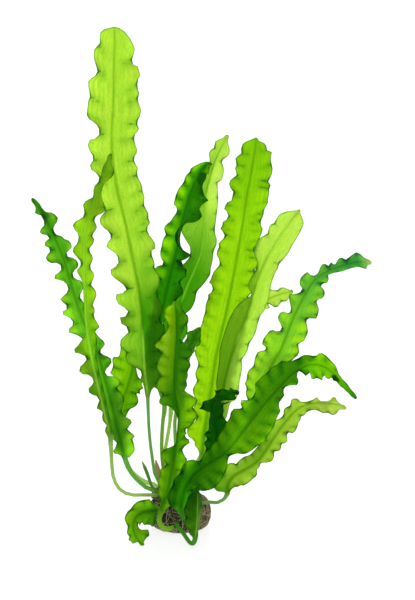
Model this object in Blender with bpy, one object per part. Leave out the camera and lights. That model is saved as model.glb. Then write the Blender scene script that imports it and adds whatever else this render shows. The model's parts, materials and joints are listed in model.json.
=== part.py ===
"""An Aponogeton longiplumulosus, potless, on its plug of roots. Metres, +Z up, origin under the plug.

Each leaf is a route from its foot to its tip. A route is drawn as the plant is seen from the front, from
VIEW_DISTANCE away and VIEW_TILT above level: across to the right, up the view, and back along +Y.
"""

import math

import bmesh
import bpy
from mathutils import Matrix, Vector, noise

MM = 0.001
VIEW_TILT = math.radians(15)
VIEW_DISTANCE = 1200 * MM
VIEW_CENTRE = (19.25 * MM, 157.5 * MM)

STALK = 1.6
CUT_GAP = 0.3 * MM
SOCKET_PLAY = 0.35 * MM
BLADE_THICKNESS = 0.9 * MM
BLADE_STARTS = 1.9 * MM
BLADE_FULL = 6 * MM
INNER_SHARE = 0.42
STALK_STEP = 9 * MM
STEPS_PER_RUFFLE = 3
SOCKET_SIDES = 8
FOLD_DEEPENS = 2.5
HANDS_APART = 1.3
NOTCH_BEHIND = 0.6
NARROW_LIFT = 0.35
WANDER_WAVES = 2.7
FLOOR_EASE = 2.5 * MM

PLUG_HALF_WIDTH = 20.4 * MM
PLUG_HALF_DEPTH = 18 * MM
PLUG_HEIGHT = 21 * MM
PLUG_ROUGHNESS = 0.9 * MM

PLUG_SIDES = 24
PLUG_LUMPS_PER_METRE = 180
# From the foot up: the share of the half width and the share of the height.
PLUG_PROFILE = [(0.8, 0), (0.93, 0.1), (1, 0.3), (1.01, 0.55), (0.96, 0.8), (0.84, 0.95), (0.7, 1)]

CROWN_CENTRE = Vector((-3 * MM, 0, PLUG_HEIGHT + CUT_GAP))
CROWN_RADII = (17.5 * MM, 12.5 * MM, 9.5 * MM)
CROWN_SEGMENTS = 14
CROWN_RINGS = 8
CROWN_KNOB_SHARE = 0.07
CROWN_KNOBS = 2.3

# A route's rows: across, up, back, half width (all mm), turn in degrees.
# Turn swings the right half towards the viewer.
# Lean: how much further back than its rows say the tip is, in mm. It grows with the square of the run.
# Ruffle: length of one wave and its height in mm, the share of the half width that a notch takes.
# Cup: share of the run, and how far the left and the right half are folded towards the viewer there.
LEAVES = {
    "tall_leaf": {
        "rows": [
            (-12, 24, 5, STALK, 0), (-16.5, 31, 6, STALK, 0), (-18.7, 42, 8, 1.5, 0),
            (-21.3, 62, 10, 1.4, 0), (-22.3, 80, 12, 1.4, 0), (-22.5, 87.5, 12.5, 1.8, 0),
            (-22.8, 93, 13, 5, 0), (-23.5, 99, 13, 9, 0), (-24.5, 106, 13, 11.5, 0),
            (-25.3, 118, 14, 13, 0), (-26.3, 139, 15, 14.5, 2),
            (-28.5, 162, 16, 15.5, 4), (-33, 186, 17, 16.5, 4), (-38, 210, 18, 17, 2),
            (-43, 230, 19, 17, 0), (-46.5, 250, 20, 17, -4), (-48, 272, 20, 17, -4),
            (-46.8, 292, 19, 17, -2), (-46.3, 318, 17, 16, 0), (-45.8, 335, 14, 14.5, 0),
            (-45.8, 343, 12, 11, 0), (-46, 348.8, 11, 0.8, 0),
        ],
        "lean": 30,
        "ruffle": (19, 5, 0.2),
        "colour": (0.38, 0.76, 0.05),
    },
    "outer_left_leaf": {
        "rows": [
            (-13, 22, -1, STALK, 0), (-20.5, 24.8, -2, 1.5, 0), (-25, 27.2, -1, 1.5, 0),
            (-28.7, 30.5, 1, 1.5, 0), (-32.6, 34.5, 2.5, 1.5, 0), (-35.6, 38.8, 3.5, 1.5, 0),
            (-37.8, 44, 4.5, 1.8, 0),
            (-39.6, 50, 5, 5, 0), (-41.8, 59, 7, 9, 0), (-47.6, 84, 9, 10, 5), (-53.2, 105, 10, 10.5, 10),
            (-59, 125, 10, 11.5, 10), (-67, 141, 10, 12, 5), (-74, 161, 9, 12, 0),
            (-80.5, 183, 8, 12, -10), (-86, 197, 7, 10.5, -15), (-92, 210, 6, 8.5, -20),
            (-96, 219, 5, 6, -30), (-100, 224, 5, 3.5, -30), (-103.6, 228.5, 6, 0.8, -30),
        ],
        "lean": 30,
        "ruffle": (11.5, 4.5, 0.32),
        "colour": (0.06, 0.38, 0.03),
    },
    "inner_left_leaf": {
        "rows": [
            (-12, 21, -6, 1.2, 0), (-22, 21.2, -7.5, 1.2, 0), (-34.5, 21.2, -8, 1.2, 0),
            (-42, 24.8, -8, 1.2, 0), (-46.4, 32.5, -9, 1.2, 0), (-47.8, 43, -9, 1.2, 0),
            (-48.3, 54, -9, 1.4, 0), (-49.2, 62, -9, 4, 0), (-50.5, 69, -9, 6.5, 0),
            (-53, 79, -9, 9, 0), (-57, 95.5, -9, 11, 5), (-60.3, 110, -9, 12, 10), (-63, 124.5, -9, 12, 10),
            (-65.2, 138, -9, 12, 15), (-66, 153, -8, 12, 25), (-66.8, 170, -8, 11, 20),
            (-67.2, 188, -8, 11, 10), (-66.4, 205, -8, 10.5, 5), (-63, 218.5, -7, 10, 5),
            (-58, 232, -6, 8.5, 15), (-53.5, 245, -5, 7, 30),
            (-50.5, 254, -4, 4, 40), (-48.3, 259.7, -4, 0.8, 40),
        ],
        "lean": -28,
        "ruffle": (13, 4, 0.28),
        "colour": (0.22, 0.6, 0.02),
    },
    "low_back_leaf": {
        "rows": [
            (-11, 24, 8, STALK, 0), (-17.5, 28, 12, STALK, 0), (-26, 31, 15, STALK, 0),
            (-34, 37.5, 18, STALK, 0), (-38, 46, 22, STALK, 0), (-42, 57, 26, 1.7, 0),
            (-44, 67, 28, 4, 0), (-42.5, 78, 29, 8, 0), (-40, 88, 30, 10, 0),
            (-36.5, 98, 30, 10.5, 0), (-33, 110, 30, 10.5, 0), (-33, 122, 29, 9.5, 0),
            (-35, 129.5, 28, 6, 0), (-36, 133.5, 28, 0.8, 0),
        ],
        "lean": 22,
        "ruffle": (10.5, 3.2, 0.25),
        "colour": (0.16, 0.56, 0.02),
    },
    "curled_leaf": {
        "rows": [
            (-7, 26, 3, 1.3, 0), (-11, 37, 8, 1.3, 0), (-12.6, 48, 13, 1.3, 0),
            (-12.8, 59.5, 17.5, 1.3, 0), (-12, 72.5, 21.5, 1.3, 0), (-10.8, 83, 25, 1.8, 0),
            (-13, 94, 28.5, 4, 0), (-16.3, 104, 31, 7.5, 0), (-17.3, 119, 34, 9.5, 0),
            (-14, 143.5, 38, 11, 0), (-8.4, 168, 40, 12, 0), (-2.8, 190.4, 40, 12.5, 5),
            (1.5, 213, 38, 12.5, 10), (7.5, 233, 35, 12, 10), (13.5, 246, 31, 10, 5),
            (18.5, 252, 27, 6.5, 0), (22, 252.5, 24, 0.8, 0),
        ],
        "lean": 0,
        "ruffle": (14, 5, 0.32),
        "cup": [(0, 0, 0), (0.55, 0, 0), (0.7, 0, 35), (0.85, 10, 50), (1, 0, 30)],
        "colour": (0.05, 0.32, 0.01),
    },
    "pale_back_leaf": {
        "rows": [
            (-4.5, 27, 8, 1.2, 0), (-9, 38, 13, 1.2, 0), (-11, 48, 18, 1.2, 0),
            (-9.2, 59, 23, 1.2, 0), (-7.2, 71, 28, 1.2, 0), (-6.3, 82, 33, 1.8, 0),
            (-7, 93, 37, 3.5, 0), (-7.5, 115, 43, 7, 0), (-3, 140, 49, 9.5, 0),
            (2.8, 161, 52, 11, 0), (9.5, 177, 53, 11.5, 0), (14.5, 190, 54, 11.5, 0),
            (16.8, 207, 54, 11, 0), (17.3, 222, 54, 10.5, 0), (19.2, 236, 53, 10, 0), (24, 253, 52, 8.5, 0),
            (29.5, 265.5, 51, 5.5, 0), (33.5, 273, 51, 0.8, 0),
        ],
        "lean": 12,
        "ruffle": (16, 4, 0.2),
        "colour": (0.4, 0.72, 0.08),
    },
    "small_centre_leaf": {
        "rows": [
            (0, 28, 2, 1.2, 0), (-1, 37, 1, 1.2, 0), (-2.6, 50, -1, 1.2, 0), (-3.4, 62, -2, 1.2, 0),
            (-3.6, 72, -3, 1.2, 0), (-2.2, 82, -3.5, 1.2, 0), (0.5, 92, -4, 1.2, 0), (3, 103, -4, 1.8, 0),
            (4.6, 114, -4, 3, 0), (6.5, 124, -4, 5, 0), (9.5, 130.5, -4.5, 6, 10), (12, 135, -5, 4.5, 20),
            (14, 138, -6, 0.8, 30),
        ],
        "lean": -8,
        "ruffle": (8, 2.2, 0.25),
        "colour": (0.2, 0.55, 0.03),
    },
    "centre_leaf": {
        "rows": [
            (-3, 1.5, -12, STALK, 0), (-4.5, -2, -20, STALK, 0), (-9, -2.8, -22.5, STALK, 0),
            (-12.8, -1.6, -22.8, STALK, 0), (-14.4, 2, -22.8, 1.8, 0), (-14.2, 7, -22.8, 3, 0),
            (-12.6, 13, -22.8, 4.5, 0), (-10.2, 19, -23, 6.5, 0), (-8.4, 25, -23, 8, 0),
            (-7, 32, -22.5, 9.5, 0),
            (-5.2, 42, -21.5, 10.5, 0), (-3.4, 51, -20.5, 10, 0),
            (-2.4, 60, -20, 8, 0), (-1.6, 69, -20, 9.5, 0), (-1.2, 79, -20, 12, 0),
            (-3, 89, -20, 12.5, 5), (-4.2, 99, -20, 12, 10), (-4.2, 109, -20, 11, 10),
            (-3.3, 122, -20, 10.5, 10), (-2.6, 137, -20, 9.5, 10), (-3, 149, -20, 7, 10),
            (-4, 156.5, -20, 0.8, 10),
        ],
        "lean": -24,
        "ruffle": (11, 4, 0.28),
        "cup": [(0, 0, 0), (0.6, 0, 0), (0.68, 10, 50), (0.95, 20, 55), (1, 0, 20)],
        "colour": (0.2, 0.5, 0.02),
    },
    "broad_leaf": {
        "rows": [
            (3, 27, 3, STALK, 0), (8, 33, 7, STALK, 0), (13, 39.5, 9.5, 1.8, 0),
            (14.6, 44, 10.5, 3.5, 0), (15.6, 49.5, 12, 5, 0), (16, 57, 13, 6.5, 0), (17, 66, 14, 10, 0),
            (19, 78, 15, 12, 0), (21.7, 94.5, 15, 13, 0), (24.5, 114, 15, 14, 0),
            (28.7, 133.7, 16, 14.5, 0), (33.6, 155.4, 17, 14.5, 0), (39.2, 184, 17, 15.5, 4),
            (43.4, 208, 15, 15.5, 6), (46.5, 229, 12, 15, 4), (50, 247, 9, 13.5, 0),
            (52, 260, 6, 10.5, 0), (53, 267, 5, 6.5, 0), (53.2, 271, 4, 0.8, 0),
        ],
        "lean": 0,
        "ruffle": (10.2, 3, 0.14),
        "colour": (0.26, 0.68, 0.01),
    },
    "pale_right_leaf": {
        "rows": [
            (4, 27, -1, STALK, 0), (9, 34, -1, STALK, 0), (15, 44, -1, STALK, 0),
            (21, 56, -1, STALK, 0), (26, 66, 0, 1.8, 0), (28.5, 77, 0, 5, 0),
            (30.5, 94, 1, 9, 0), (33.5, 109, 1, 11, 0), (37.5, 122, 2, 11.5, 0), (42, 135, 3, 11.5, 0),
            (46.5, 147, 3, 12, 0), (50.5, 160, 4, 12, 0), (55, 174, 5, 12, 4), (61, 187, 6, 12.5, 8),
            (69, 201, 7, 12.5, 8), (77, 212, 8, 10.5, 4), (81, 217, 9, 7, 0),
            (83.8, 220.5, 11, 0.8, 0),
        ],
        "lean": 0,
        "ruffle": (14, 2, 0.08),
        "colour": (0.48, 0.78, 0.12),
    },
    "small_back_leaf": {
        "rows": [
            (-1, 29, 9, STALK, 0), (6, 36, 15, STALK, 0), (16, 51, 25, STALK, 0),
            (24, 77, 34, STALK, 0), (34, 105, 40, STALK, 0), (43, 131, 43, 1.8, 0),
            (52, 148, 44, 4, 0), (60.2, 157, 44, 6, 0), (70, 161.5, 44, 6, 0),
            (76, 163, 44, 4.5, 0), (79, 163.5, 44, 0.8, 0),
        ],
        "lean": 24,
        "ruffle": (9, 2, 0.15),
        "colour": (0.4, 0.72, 0.12),
    },
    "arching_leaf": {
        "rows": [
            (7.5, 25, -1, STALK, 0), (14.5, 31, -1.5, STALK, 0), (22, 40, -2, STALK, 0),
            (32, 52, -1, STALK, 0), (41, 64, 1, 1.8, 0), (46.2, 73.5, 2, 4.5, 0),
            (52.5, 87.5, 3, 10, 0), (59.5, 103, 3, 12, 0), (65.5, 114.5, 2, 13, 0),
            (70.5, 123, 1, 12.5, 0), (77.5, 141, 0, 12.5, -5), (84, 155, -1, 11, -12),
            (93.5, 171, -3, 9, -25), (103, 177.8, -5, 8, -30), (112, 181.3, -7, 7.5, -30),
            (122, 184, -9, 6.5, -30), (130, 184.3, -10, 4, -30), (134, 183, -10, 0.8, -30),
        ],
        "lean": -30,
        "ruffle": (10, 3.8, 0.24),
        "colour": (0.1, 0.5, 0.03),
    },
    "short_dark_leaf": {
        "rows": [
            (7, 23, -6, STALK, 0), (13, 28, -9, STALK, 0), (18.5, 38, -10, STALK, 0),
            (22.5, 44.5, -10, 4.5, 0), (24, 52, -10, 7.5, 0), (25.5, 63.5, -10, 8.5, 0),
            (23.5, 75, -10, 9, 10), (22.3, 83, -10, 8.5, 20), (26.5, 89, -11, 7.5, 40),
            (34, 91.5, -12, 6, 50), (39, 92.5, -12, 3.5, 50), (41.5, 92.5, -12, 0.8, 50),
        ],
        "lean": -6,
        "ruffle": (8, 2.6, 0.25),
        "colour": (0.01, 0.16, 0.01),
    },
    "drooping_leaf": {
        "rows": [
            (2.2, 7, -12, STALK, 0), (2.4, 4, -22, STALK, 0), (1.8, 6.5, -28, STALK, 0),
            (1, 11.5, -31.5, 4.5, 0), (1.4, 16.5, -32.5, 8.5, 0), (2.6, 22.5, -33, 11, 0),
            (5.5, 29, -32.5, 12, 0),
            (11, 36.3, -31.5, 12.5, 0), (19.5, 42.5, -30, 12.5, 0), (31, 50, -28, 12, 0),
            (40.6, 61, -26, 13, 0),
            (52.5, 76.3, -23, 15.5, 0), (61, 87, -22, 16, 0), (70, 97, -21, 15.5, 0),
            (80, 106.5, -20, 13.5, 0), (90, 112, -20, 11.5, -10), (99.5, 111.5, -21, 9.5, -25),
            (107.5, 106.5, -23, 7, -45), (113, 100.5, -24, 5, -50), (118, 94.5, -26, 3.5, -40),
            (123.5, 88.5, -27, 0.8, -40),
        ],
        "lean": -24,
        "ruffle": (11.5, 4, 0.2),
        "colour": (0.05, 0.35, 0.01),
    },
    "yellow_leaf": {
        "rows": [
            (10, 15, -5, 1.2, 0), (19.6, 16, -12, 1.2, 0), (26.5, 15.8, -13, 1.2, 0),
            (31.2, 18.6, -13, 1.2, 0), (32.8, 21.3, -13, 1.8, 0), (33.4, 23.5, -12.8, 6.5, 0),
            (33.5, 26.5, -12.4, 9, 0), (34.5, 30, -12, 10, 0),
            (38, 34.5, -11, 9.5, 0), (44, 38, -9, 10, 0), (53, 43.4, -7, 10.5, 0),
            (59.5, 51, -6, 10, 0), (65.5, 60.5, -5, 10, 0), (72.5, 70.5, -5, 10.5, 0),
            (81, 80, -5, 10, 5), (90, 84.5, -6, 8.5, 20), (99.5, 85.5, -7, 7.5, 25),
            (108.5, 84.5, -8, 5.5, 20), (113, 83, -9, 3.2, 15), (116, 81.5, -9, 0.8, 15),
        ],
        "lean": 24,
        "ruffle": (9, 3, 0.18),
        "colour": (0.4, 0.68, 0.06),
    },
    "floor_leaf": {
        "rows": [
            (-10, 12, -9, STALK, 0), (-14, 11, -17.5, 2, 0), (-17.5, 10.5, -20, 5.5, 0),
            (-21.5, 10, -22.5, 7.5, 0),
            (-26.5, 9, -25.5, 8.2, 0), (-31, 5.3, -28.5, 7.5, 0), (-32.9, -0.8, -32, 7, 0),
            (-31.6, -6.5, -35, 7.2, 0),
            (-29, -11, -37.3, 5.5, 0), (-25.4, -14.6, -38.8, 0.8, 0),
        ],
        "lean": 0,
        "ruffle": (8, 2.2, 0.2),
        "colour": (0.16, 0.46, 0.01),
    },
    "kinked_leaf": {
        "rows": [
            (-3.2, 6, -11, 1.4, 0), (-2.2, 0, -21.5, 1.4, 0), (2, -5.4, -29, 1.4, 0),
            (5.7, -10.8, -35, 1.4, 0), (8.2, -13.3, -39, 1.4, 0), (10.2, -11, -42, 1.8, 0),
            (11.4, -5, -44, 6, 0), (12, 1.5, -45.5, 9, 0), (12.4, 8, -46, 9.5, 0),
            (12.4, 14, -46, 9.5, 0), (12.6, 19.5, -46, 7, 0), (12.4, 23.5, -45.5, 4, 0),
            (12, 26.5, -45, 0.8, 0),
        ],
        "lean": 0,
        "ruffle": (11, 1.8, 0.15),
        "cup": [(0, 0, 0), (0.45, 0, 0), (0.55, 0, -75), (1, 0, -75)],
        "colour": (0.03, 0.22, 0.01),
    },
    "young_shoot": {
        "rows": [
            (-12, 21, -10, 1.2, 0), (-19, 26, -12, 1.2, 0), (-21.5, 32, -12.5, 1.5, 0),
            (-23.7, 38, -13, 2, 0), (-26.5, 44.5, -13, 0.5, 0),
        ],
        "lean": 0,
        "ruffle": (8, 0.5, 0.1),
        "colour": (0.1, 0.32, 0.05),
    },
    "brown_sheath": {
        "rows": [
            (-10, 26, 1, 1.2, 0), (-14, 33, 0.5, 1.2, 0), (-15.6, 39, 0.5, 1.7, 0),
            (-17, 45.5, 1, 0.5, 0),
        ],
        "lean": 0,
        "ruffle": (8, 0.3, 0.1),
        "colour": (0.3, 0.16, 0.08),
    },
}

VIEW_RIGHT = Vector((1, 0, 0))
VIEW_UP = Vector((0, math.sin(VIEW_TILT), math.cos(VIEW_TILT)))
VIEW_AWAY = Vector((0, math.cos(VIEW_TILT), -math.sin(VIEW_TILT)))


def placed(across, up, back):
    """The world point seen at (across, up) from the front, and lying `back` along +Y. All in metres."""
    right_of_centre = across - VIEW_CENTRE[0]
    above_centre = up - VIEW_CENTRE[1]
    centre = VIEW_RIGHT * VIEW_CENTRE[0] + VIEW_UP * VIEW_CENTRE[1]
    slope = VIEW_UP.y * above_centre
    away = (back - centre.y - slope) / (VIEW_AWAY.y + slope / VIEW_DISTANCE)
    spread = 1 + away / VIEW_DISTANCE
    return centre + (VIEW_RIGHT * right_of_centre + VIEW_UP * above_centre) * spread + VIEW_AWAY * away


def eased(value):
    value = min(max(value, 0), 1)
    return value * value * (3 - 2 * value)


def through(before, start, end, after, t):
    """A point of the smooth curve from start to end, which the neighbours on both sides steer."""
    return 0.5 * (
        2 * start
        + (end - before) * t
        + (2 * before - 5 * start + 4 * end - after) * t * t
        + (3 * start - before - 3 * end + after) * t ** 3
    )


def leaf_places(leaf):
    """Where the rows of a leaf lie, with its lean."""
    rows = leaf["rows"]
    runs = [0]
    for before, row in zip(rows, rows[1:]):
        runs.append(runs[-1] + math.hypot(row[0] - before[0], row[1] - before[1]))
    return [
        placed(a * MM, u * MM, (b + leaf["lean"] * (run / runs[-1]) ** 2) * MM)
        for (a, u, b, _, _), run in zip(rows, runs)
    ]


def stations(leaf, wave):
    """Points along a leaf from its foot up: place, half width and turn."""
    rows = leaf["rows"]
    places = leaf_places(leaf)
    widths = [row[3] * MM for row in rows]
    turns = [math.radians(row[4]) for row in rows]
    found = [(places[0], widths[0], turns[0])]
    last = len(rows) - 1
    for i in range(1, last):
        step = wave / STEPS_PER_RUFFLE if max(widths[i], widths[i + 1]) > BLADE_STARTS else STALK_STEP
        count = max(1, round((places[i + 1] - places[i]).length / step))
        after = min(i + 2, last)
        for k in range(count):
            t = k / count
            blend = eased(t)
            found.append((
                through(places[i - 1], places[i], places[i + 1], places[after], t),
                widths[i] + (widths[i + 1] - widths[i]) * blend,
                turns[i] + (turns[i + 1] - turns[i]) * blend,
            ))
    found.append((places[last], widths[last], turns[last]))
    return found


def above_floor(point):
    """Eases what would dip below the surface to just above it."""
    if point.z < FLOOR_EASE:
        point.z = FLOOR_EASE * math.exp((point.z - FLOOR_EASE) / FLOOR_EASE)
    return point


def bladed_share(width):
    """0 on the round stalk, 1 on the flat blade."""
    return eased((width - BLADE_STARTS) / (BLADE_FULL - BLADE_STARTS))


def leaf_frames(line):
    """The leaf's direction and its sideways direction at each station, worked out from the tip down."""
    frames = []
    side = None
    for i in reversed(range(len(line))):
        ahead = line[min(i + 1, len(line) - 1)][0]
        behind = line[max(i - 1, 0)][0]
        along = (ahead - behind).normalized()
        _, width, turn = line[i]
        if side is None or bladed_share(width) > 0:
            side = Matrix.Rotation(-turn, 3, along) @ VIEW_AWAY.cross(along).normalized()
        else:
            side = (side - along * side.dot(along)).normalized()
        frames.append((along, side))
    return frames[::-1]


def cupped(leaf, hand, share):
    """How far one half of the blade is folded towards the viewer at a share of the run."""
    cups = leaf.get("cup", [(0, 0, 0), (1, 0, 0)])
    for (before, *folds), (after, *next_folds) in zip(cups, cups[1:]):
        if share <= after:
            side = max(hand, 0)
            mix = (share - before) / (after - before)
            return math.radians(folds[side] + (next_folds[side] - folds[side]) * mix)
    return 0


def leaf_rings(leaf, seed):
    """Six points round the leaf at each station: the two margins, and two on each face.

    The margins wave towards the viewer and back, and each wave is a little longer or shorter.
    """
    wave, height, notch = leaf["ruffle"]
    wave, height = wave * MM, height * MM
    line = stations(leaf, wave)
    widest = max(width for _, width, _ in line)
    places = [place for place, _, _ in line]
    runs = [0]
    for before, place in zip(places, places[1:]):
        runs.append(runs[-1] + (place - before).length)
    rings = []
    for (place, width, _), (along, side), run in zip(line, leaf_frames(line), runs):
        front = side.cross(along)
        bladed = bladed_share(width)
        inner = 0.5 + (INNER_SHARE - 0.5) * bladed
        thick = math.sqrt(3) * min(width, STALK * MM) * (1 - bladed) + BLADE_THICKNESS * bladed
        lift = height * bladed * (NARROW_LIFT + (1 - NARROW_LIFT) * width / widest)
        points = {}
        for hand in (-1, 1):
            phase = math.tau * run / wave + seed + hand * HANDS_APART
            phase += math.sin(run / (WANDER_WAVES * wave) + hand) / 2
            reach = width * (1 - notch * bladed * (1 - math.cos(phase - NOTCH_BEHIND)) / 2)
            fold = Matrix.Rotation(cupped(leaf, hand, run / runs[-1]) * -hand * bladed, 3, along)
            out, face = fold @ side * hand, fold @ front
            margin = place + out * reach + face * lift * math.sin(phase)
            middle = place + out * inner * width + face * lift * math.sin(phase) * inner ** FOLD_DEEPENS
            points[hand] = (margin, middle + face * thick / 2, middle - face * thick / 2)
        rings.append([
            above_floor(point)
            for point in (
                points[1][0], points[1][1], points[-1][1],
                points[-1][0], points[-1][2], points[1][2],
            )
        ])
    return rings


def lofted(name, rings):
    """One closed skin over rings of the same count, capped at both ends."""
    mesh = bmesh.new()
    loops = [[mesh.verts.new(point) for point in ring] for ring in rings]
    for lower, upper in zip(loops, loops[1:]):
        for k, corner in enumerate(lower):
            after = (k + 1) % len(lower)
            mesh.faces.new((corner, lower[after], upper[after], upper[k]))
    mesh.faces.new(loops[0])
    mesh.faces.new(loops[-1])
    bmesh.ops.triangulate(mesh, faces=mesh.faces)
    bmesh.ops.recalc_face_normals(mesh, faces=mesh.faces)
    data = bpy.data.meshes.new(name)
    mesh.to_mesh(data)
    mesh.free()
    return data


def material(name, colour, roughness):
    made = bpy.data.materials.new(name)
    made.use_nodes = True
    shader = made.node_tree.nodes["Principled BSDF"]
    shader.inputs["Base Color"].default_value = (*colour, 1)
    shader.inputs["Roughness"].default_value = roughness
    return made


def add_object(name, data, collection, colour=None, roughness=0.4):
    made = bpy.data.objects.new(name, data)
    collection.objects.link(made)
    if colour:
        data.materials.append(material(name, colour, roughness))
    data.shade_smooth()
    return made


def leaf_object(name, seed, collection):
    leaf = LEAVES[name]
    data = lofted(name, leaf_rings(leaf, seed))
    return add_object(name, data, collection, leaf["colour"])


def socket_cutter(name, collection):
    """A short rod a little wider than the leaf's foot, along the foot."""
    foot, out = leaf_places(LEAVES[name])[:2]
    radius = LEAVES[name]["rows"][0][3] * MM + SOCKET_PLAY
    mesh = bmesh.new()
    length = (out - foot).length + SOCKET_PLAY
    bmesh.ops.create_cone(
        mesh, cap_ends=True, segments=SOCKET_SIDES, radius1=radius, radius2=radius, depth=length
    )
    turn = (out - foot).to_track_quat("Z", "Y").to_matrix().to_4x4()
    start = foot - (out - foot).normalized() * SOCKET_PLAY
    middle = start + (out - foot).normalized() * length / 2
    bmesh.ops.transform(mesh, matrix=Matrix.Translation(middle) @ turn, verts=mesh.verts)
    data = bpy.data.meshes.new(name + "_socket")
    mesh.to_mesh(data)
    mesh.free()
    cutter = bpy.data.objects.new(name + "_socket", data)
    collection.objects.link(cutter)
    cutter.hide_render = True
    cutter.display_type = "WIRE"
    return cutter


def cut_sockets(body, cutters):
    for cutter in cutters:
        cut = body.modifiers.new(cutter.name, "BOOLEAN")
        cut.operation = "DIFFERENCE"
        cut.solver = "EXACT"
        cut.object = cutter


def plug_object(collection):
    """A squat lump with a flat foot, a flat top for the crown, and a rough round side."""
    rings = []
    for share, rise in PLUG_PROFILE:
        ring = []
        for k in range(PLUG_SIDES):
            angle = math.tau * k / PLUG_SIDES
            point = Vector((
                PLUG_HALF_WIDTH * share * math.cos(angle),
                PLUG_HALF_DEPTH * share * math.sin(angle),
                PLUG_HEIGHT * rise,
            ))
            if 0 < rise < 1:
                out = Vector((point.x, point.y, 0)).normalized()
                point += out * PLUG_ROUGHNESS * noise.noise(point * PLUG_LUMPS_PER_METRE)
            ring.append(point)
        rings.append(ring)
    return add_object("root_plug", lofted("root_plug", rings), collection, (0.16, 0.1, 0.05), 0.9)


def crown_object(collection):
    """The upper half of a knobbly round body, flat where it sits on the plug."""
    mesh = bmesh.new()
    bmesh.ops.create_uvsphere(mesh, u_segments=CROWN_SEGMENTS, v_segments=CROWN_RINGS, radius=1)
    bmesh.ops.bisect_plane(
        mesh, geom=mesh.verts[:] + mesh.edges[:] + mesh.faces[:],
        plane_co=(0, 0, 0), plane_no=(0, 0, -1), clear_outer=True,
    )
    rim = [edge for edge in mesh.edges if edge.is_boundary]
    bmesh.ops.edgeloop_fill(mesh, edges=rim)
    for vert in mesh.verts:
        knob = 1 + CROWN_KNOB_SHARE * noise.noise(vert.co * CROWN_KNOBS)
        vert.co = Vector((a * b * knob for a, b in zip(vert.co, CROWN_RADII)))
    bmesh.ops.translate(mesh, vec=CROWN_CENTRE, verts=mesh.verts)
    bmesh.ops.triangulate(mesh, faces=mesh.faces)
    bmesh.ops.recalc_face_normals(mesh, faces=mesh.faces)
    data = bpy.data.meshes.new("crown")
    mesh.to_mesh(data)
    mesh.free()
    return add_object("crown", data, collection, (0.12, 0.08, 0.04), 0.85)


def main():
    for old in list(bpy.data.objects):
        bpy.data.objects.remove(old)
    plant = bpy.data.collections.new("aponogeton_longiplumulosus")
    cutters = bpy.data.collections.new("cutters")
    bpy.context.scene.collection.children.link(plant)
    bpy.context.scene.collection.children.link(cutters)
    plug = plug_object(plant)
    crown = crown_object(plant)
    for seed, name in enumerate(LEAVES):
        leaf_object(name, seed, plant)
    cut = [socket_cutter(name, cutters) for name in LEAVES]
    cut_sockets(plug, cut)
    cut_sockets(crown, cut)


main()
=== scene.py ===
import json
import math
import random

import bpy
import numpy as np
from mathutils import Matrix, Vector, noise

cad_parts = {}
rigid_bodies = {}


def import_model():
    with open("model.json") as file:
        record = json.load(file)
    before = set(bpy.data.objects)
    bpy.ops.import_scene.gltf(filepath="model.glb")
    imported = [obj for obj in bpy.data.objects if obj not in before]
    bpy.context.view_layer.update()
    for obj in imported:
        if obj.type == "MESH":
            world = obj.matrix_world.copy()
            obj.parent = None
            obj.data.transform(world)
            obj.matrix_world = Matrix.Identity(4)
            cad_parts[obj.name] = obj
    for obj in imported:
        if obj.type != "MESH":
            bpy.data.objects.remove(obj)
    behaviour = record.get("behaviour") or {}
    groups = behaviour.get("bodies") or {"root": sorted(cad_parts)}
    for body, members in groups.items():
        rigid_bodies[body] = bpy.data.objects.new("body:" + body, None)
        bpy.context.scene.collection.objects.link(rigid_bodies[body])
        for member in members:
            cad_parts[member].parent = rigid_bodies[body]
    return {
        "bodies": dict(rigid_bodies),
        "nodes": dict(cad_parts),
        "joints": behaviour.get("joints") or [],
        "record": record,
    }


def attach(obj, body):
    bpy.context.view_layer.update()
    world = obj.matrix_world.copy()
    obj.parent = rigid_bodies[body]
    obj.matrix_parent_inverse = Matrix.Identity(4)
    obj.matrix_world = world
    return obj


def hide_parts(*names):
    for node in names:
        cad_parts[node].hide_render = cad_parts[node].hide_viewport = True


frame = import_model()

MM = 0.001

# The view from the front: the picture's size in pixels, what one pixel shows in mm, how much above level and
# how far off the eye is, and which spot of the plant, across and up, is at the picture's centre. The film's
# width is in mm, and the farthest that is seen in m.
PICTURE = (415, 600)
MM_PER_PIXEL = 0.7
VIEW_TILT = math.radians(15)
VIEW_DISTANCE = 1200 * MM
VIEW_CENTRE = (19.25 * MM, 157.5 * MM)
SENSOR = 36
FARTHEST_SEEN = 20

# A stalk's usual half width in mm, and the most that its round part gets, as a share of that. A leaf is all
# stalk up to a half width of BLADE_STARTS and all blade from BLADE_FULL on.
STALK = 1.6
STALK_FULLNESS = 1.05
BLADE_STARTS = 1.9 * MM
BLADE_FULL = 6 * MM
# How far apart the rings of points lie on a blade and on a stalk.
RING_STEP = 0.5 * MM
STALK_RING_STEP = 1.2 * MM
# Where the points of a ring lie on one half of the blade, as shares of its half width, from the margin in.
HALF_SPREAD = (1, 0.975, 0.93, 0.85, 0.74, 0.61, 0.47, 0.33, 0.2, 0.1, 0.04, 0)
# The blade's thickness beside the midrib and near the margin.
BLADE_MIDDLE = 0.55 * MM
BLADE_EDGE = 0.2 * MM
# How late, going out from the midrib, the margin's lift, its ruffle and its step forward set in.
LIFT_BEND = 1.3
RUFFLE_BEND = 2.6
AHEAD_BEND = 2
# The midrib: its height and reach, how the reach goes with the blade's width and along the run, how much
# fainter its line is at the tip, and how sharply a pale stretch of it begins and ends.
RIB_HEIGHT = 0.35 * MM
RIB_REACH = 1.0 * MM
RIB_BY_WIDTH = (0.55, 0.45)
RIB_BY_RUN = (1.6, 1.05)
RIB_FADES = 0.3
PALE_RIB_ENDS = 25
# Points lower than this are eased up, so that none goes through the surface below the plant.
FLOOR_EASE = 2.5 * MM

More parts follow.
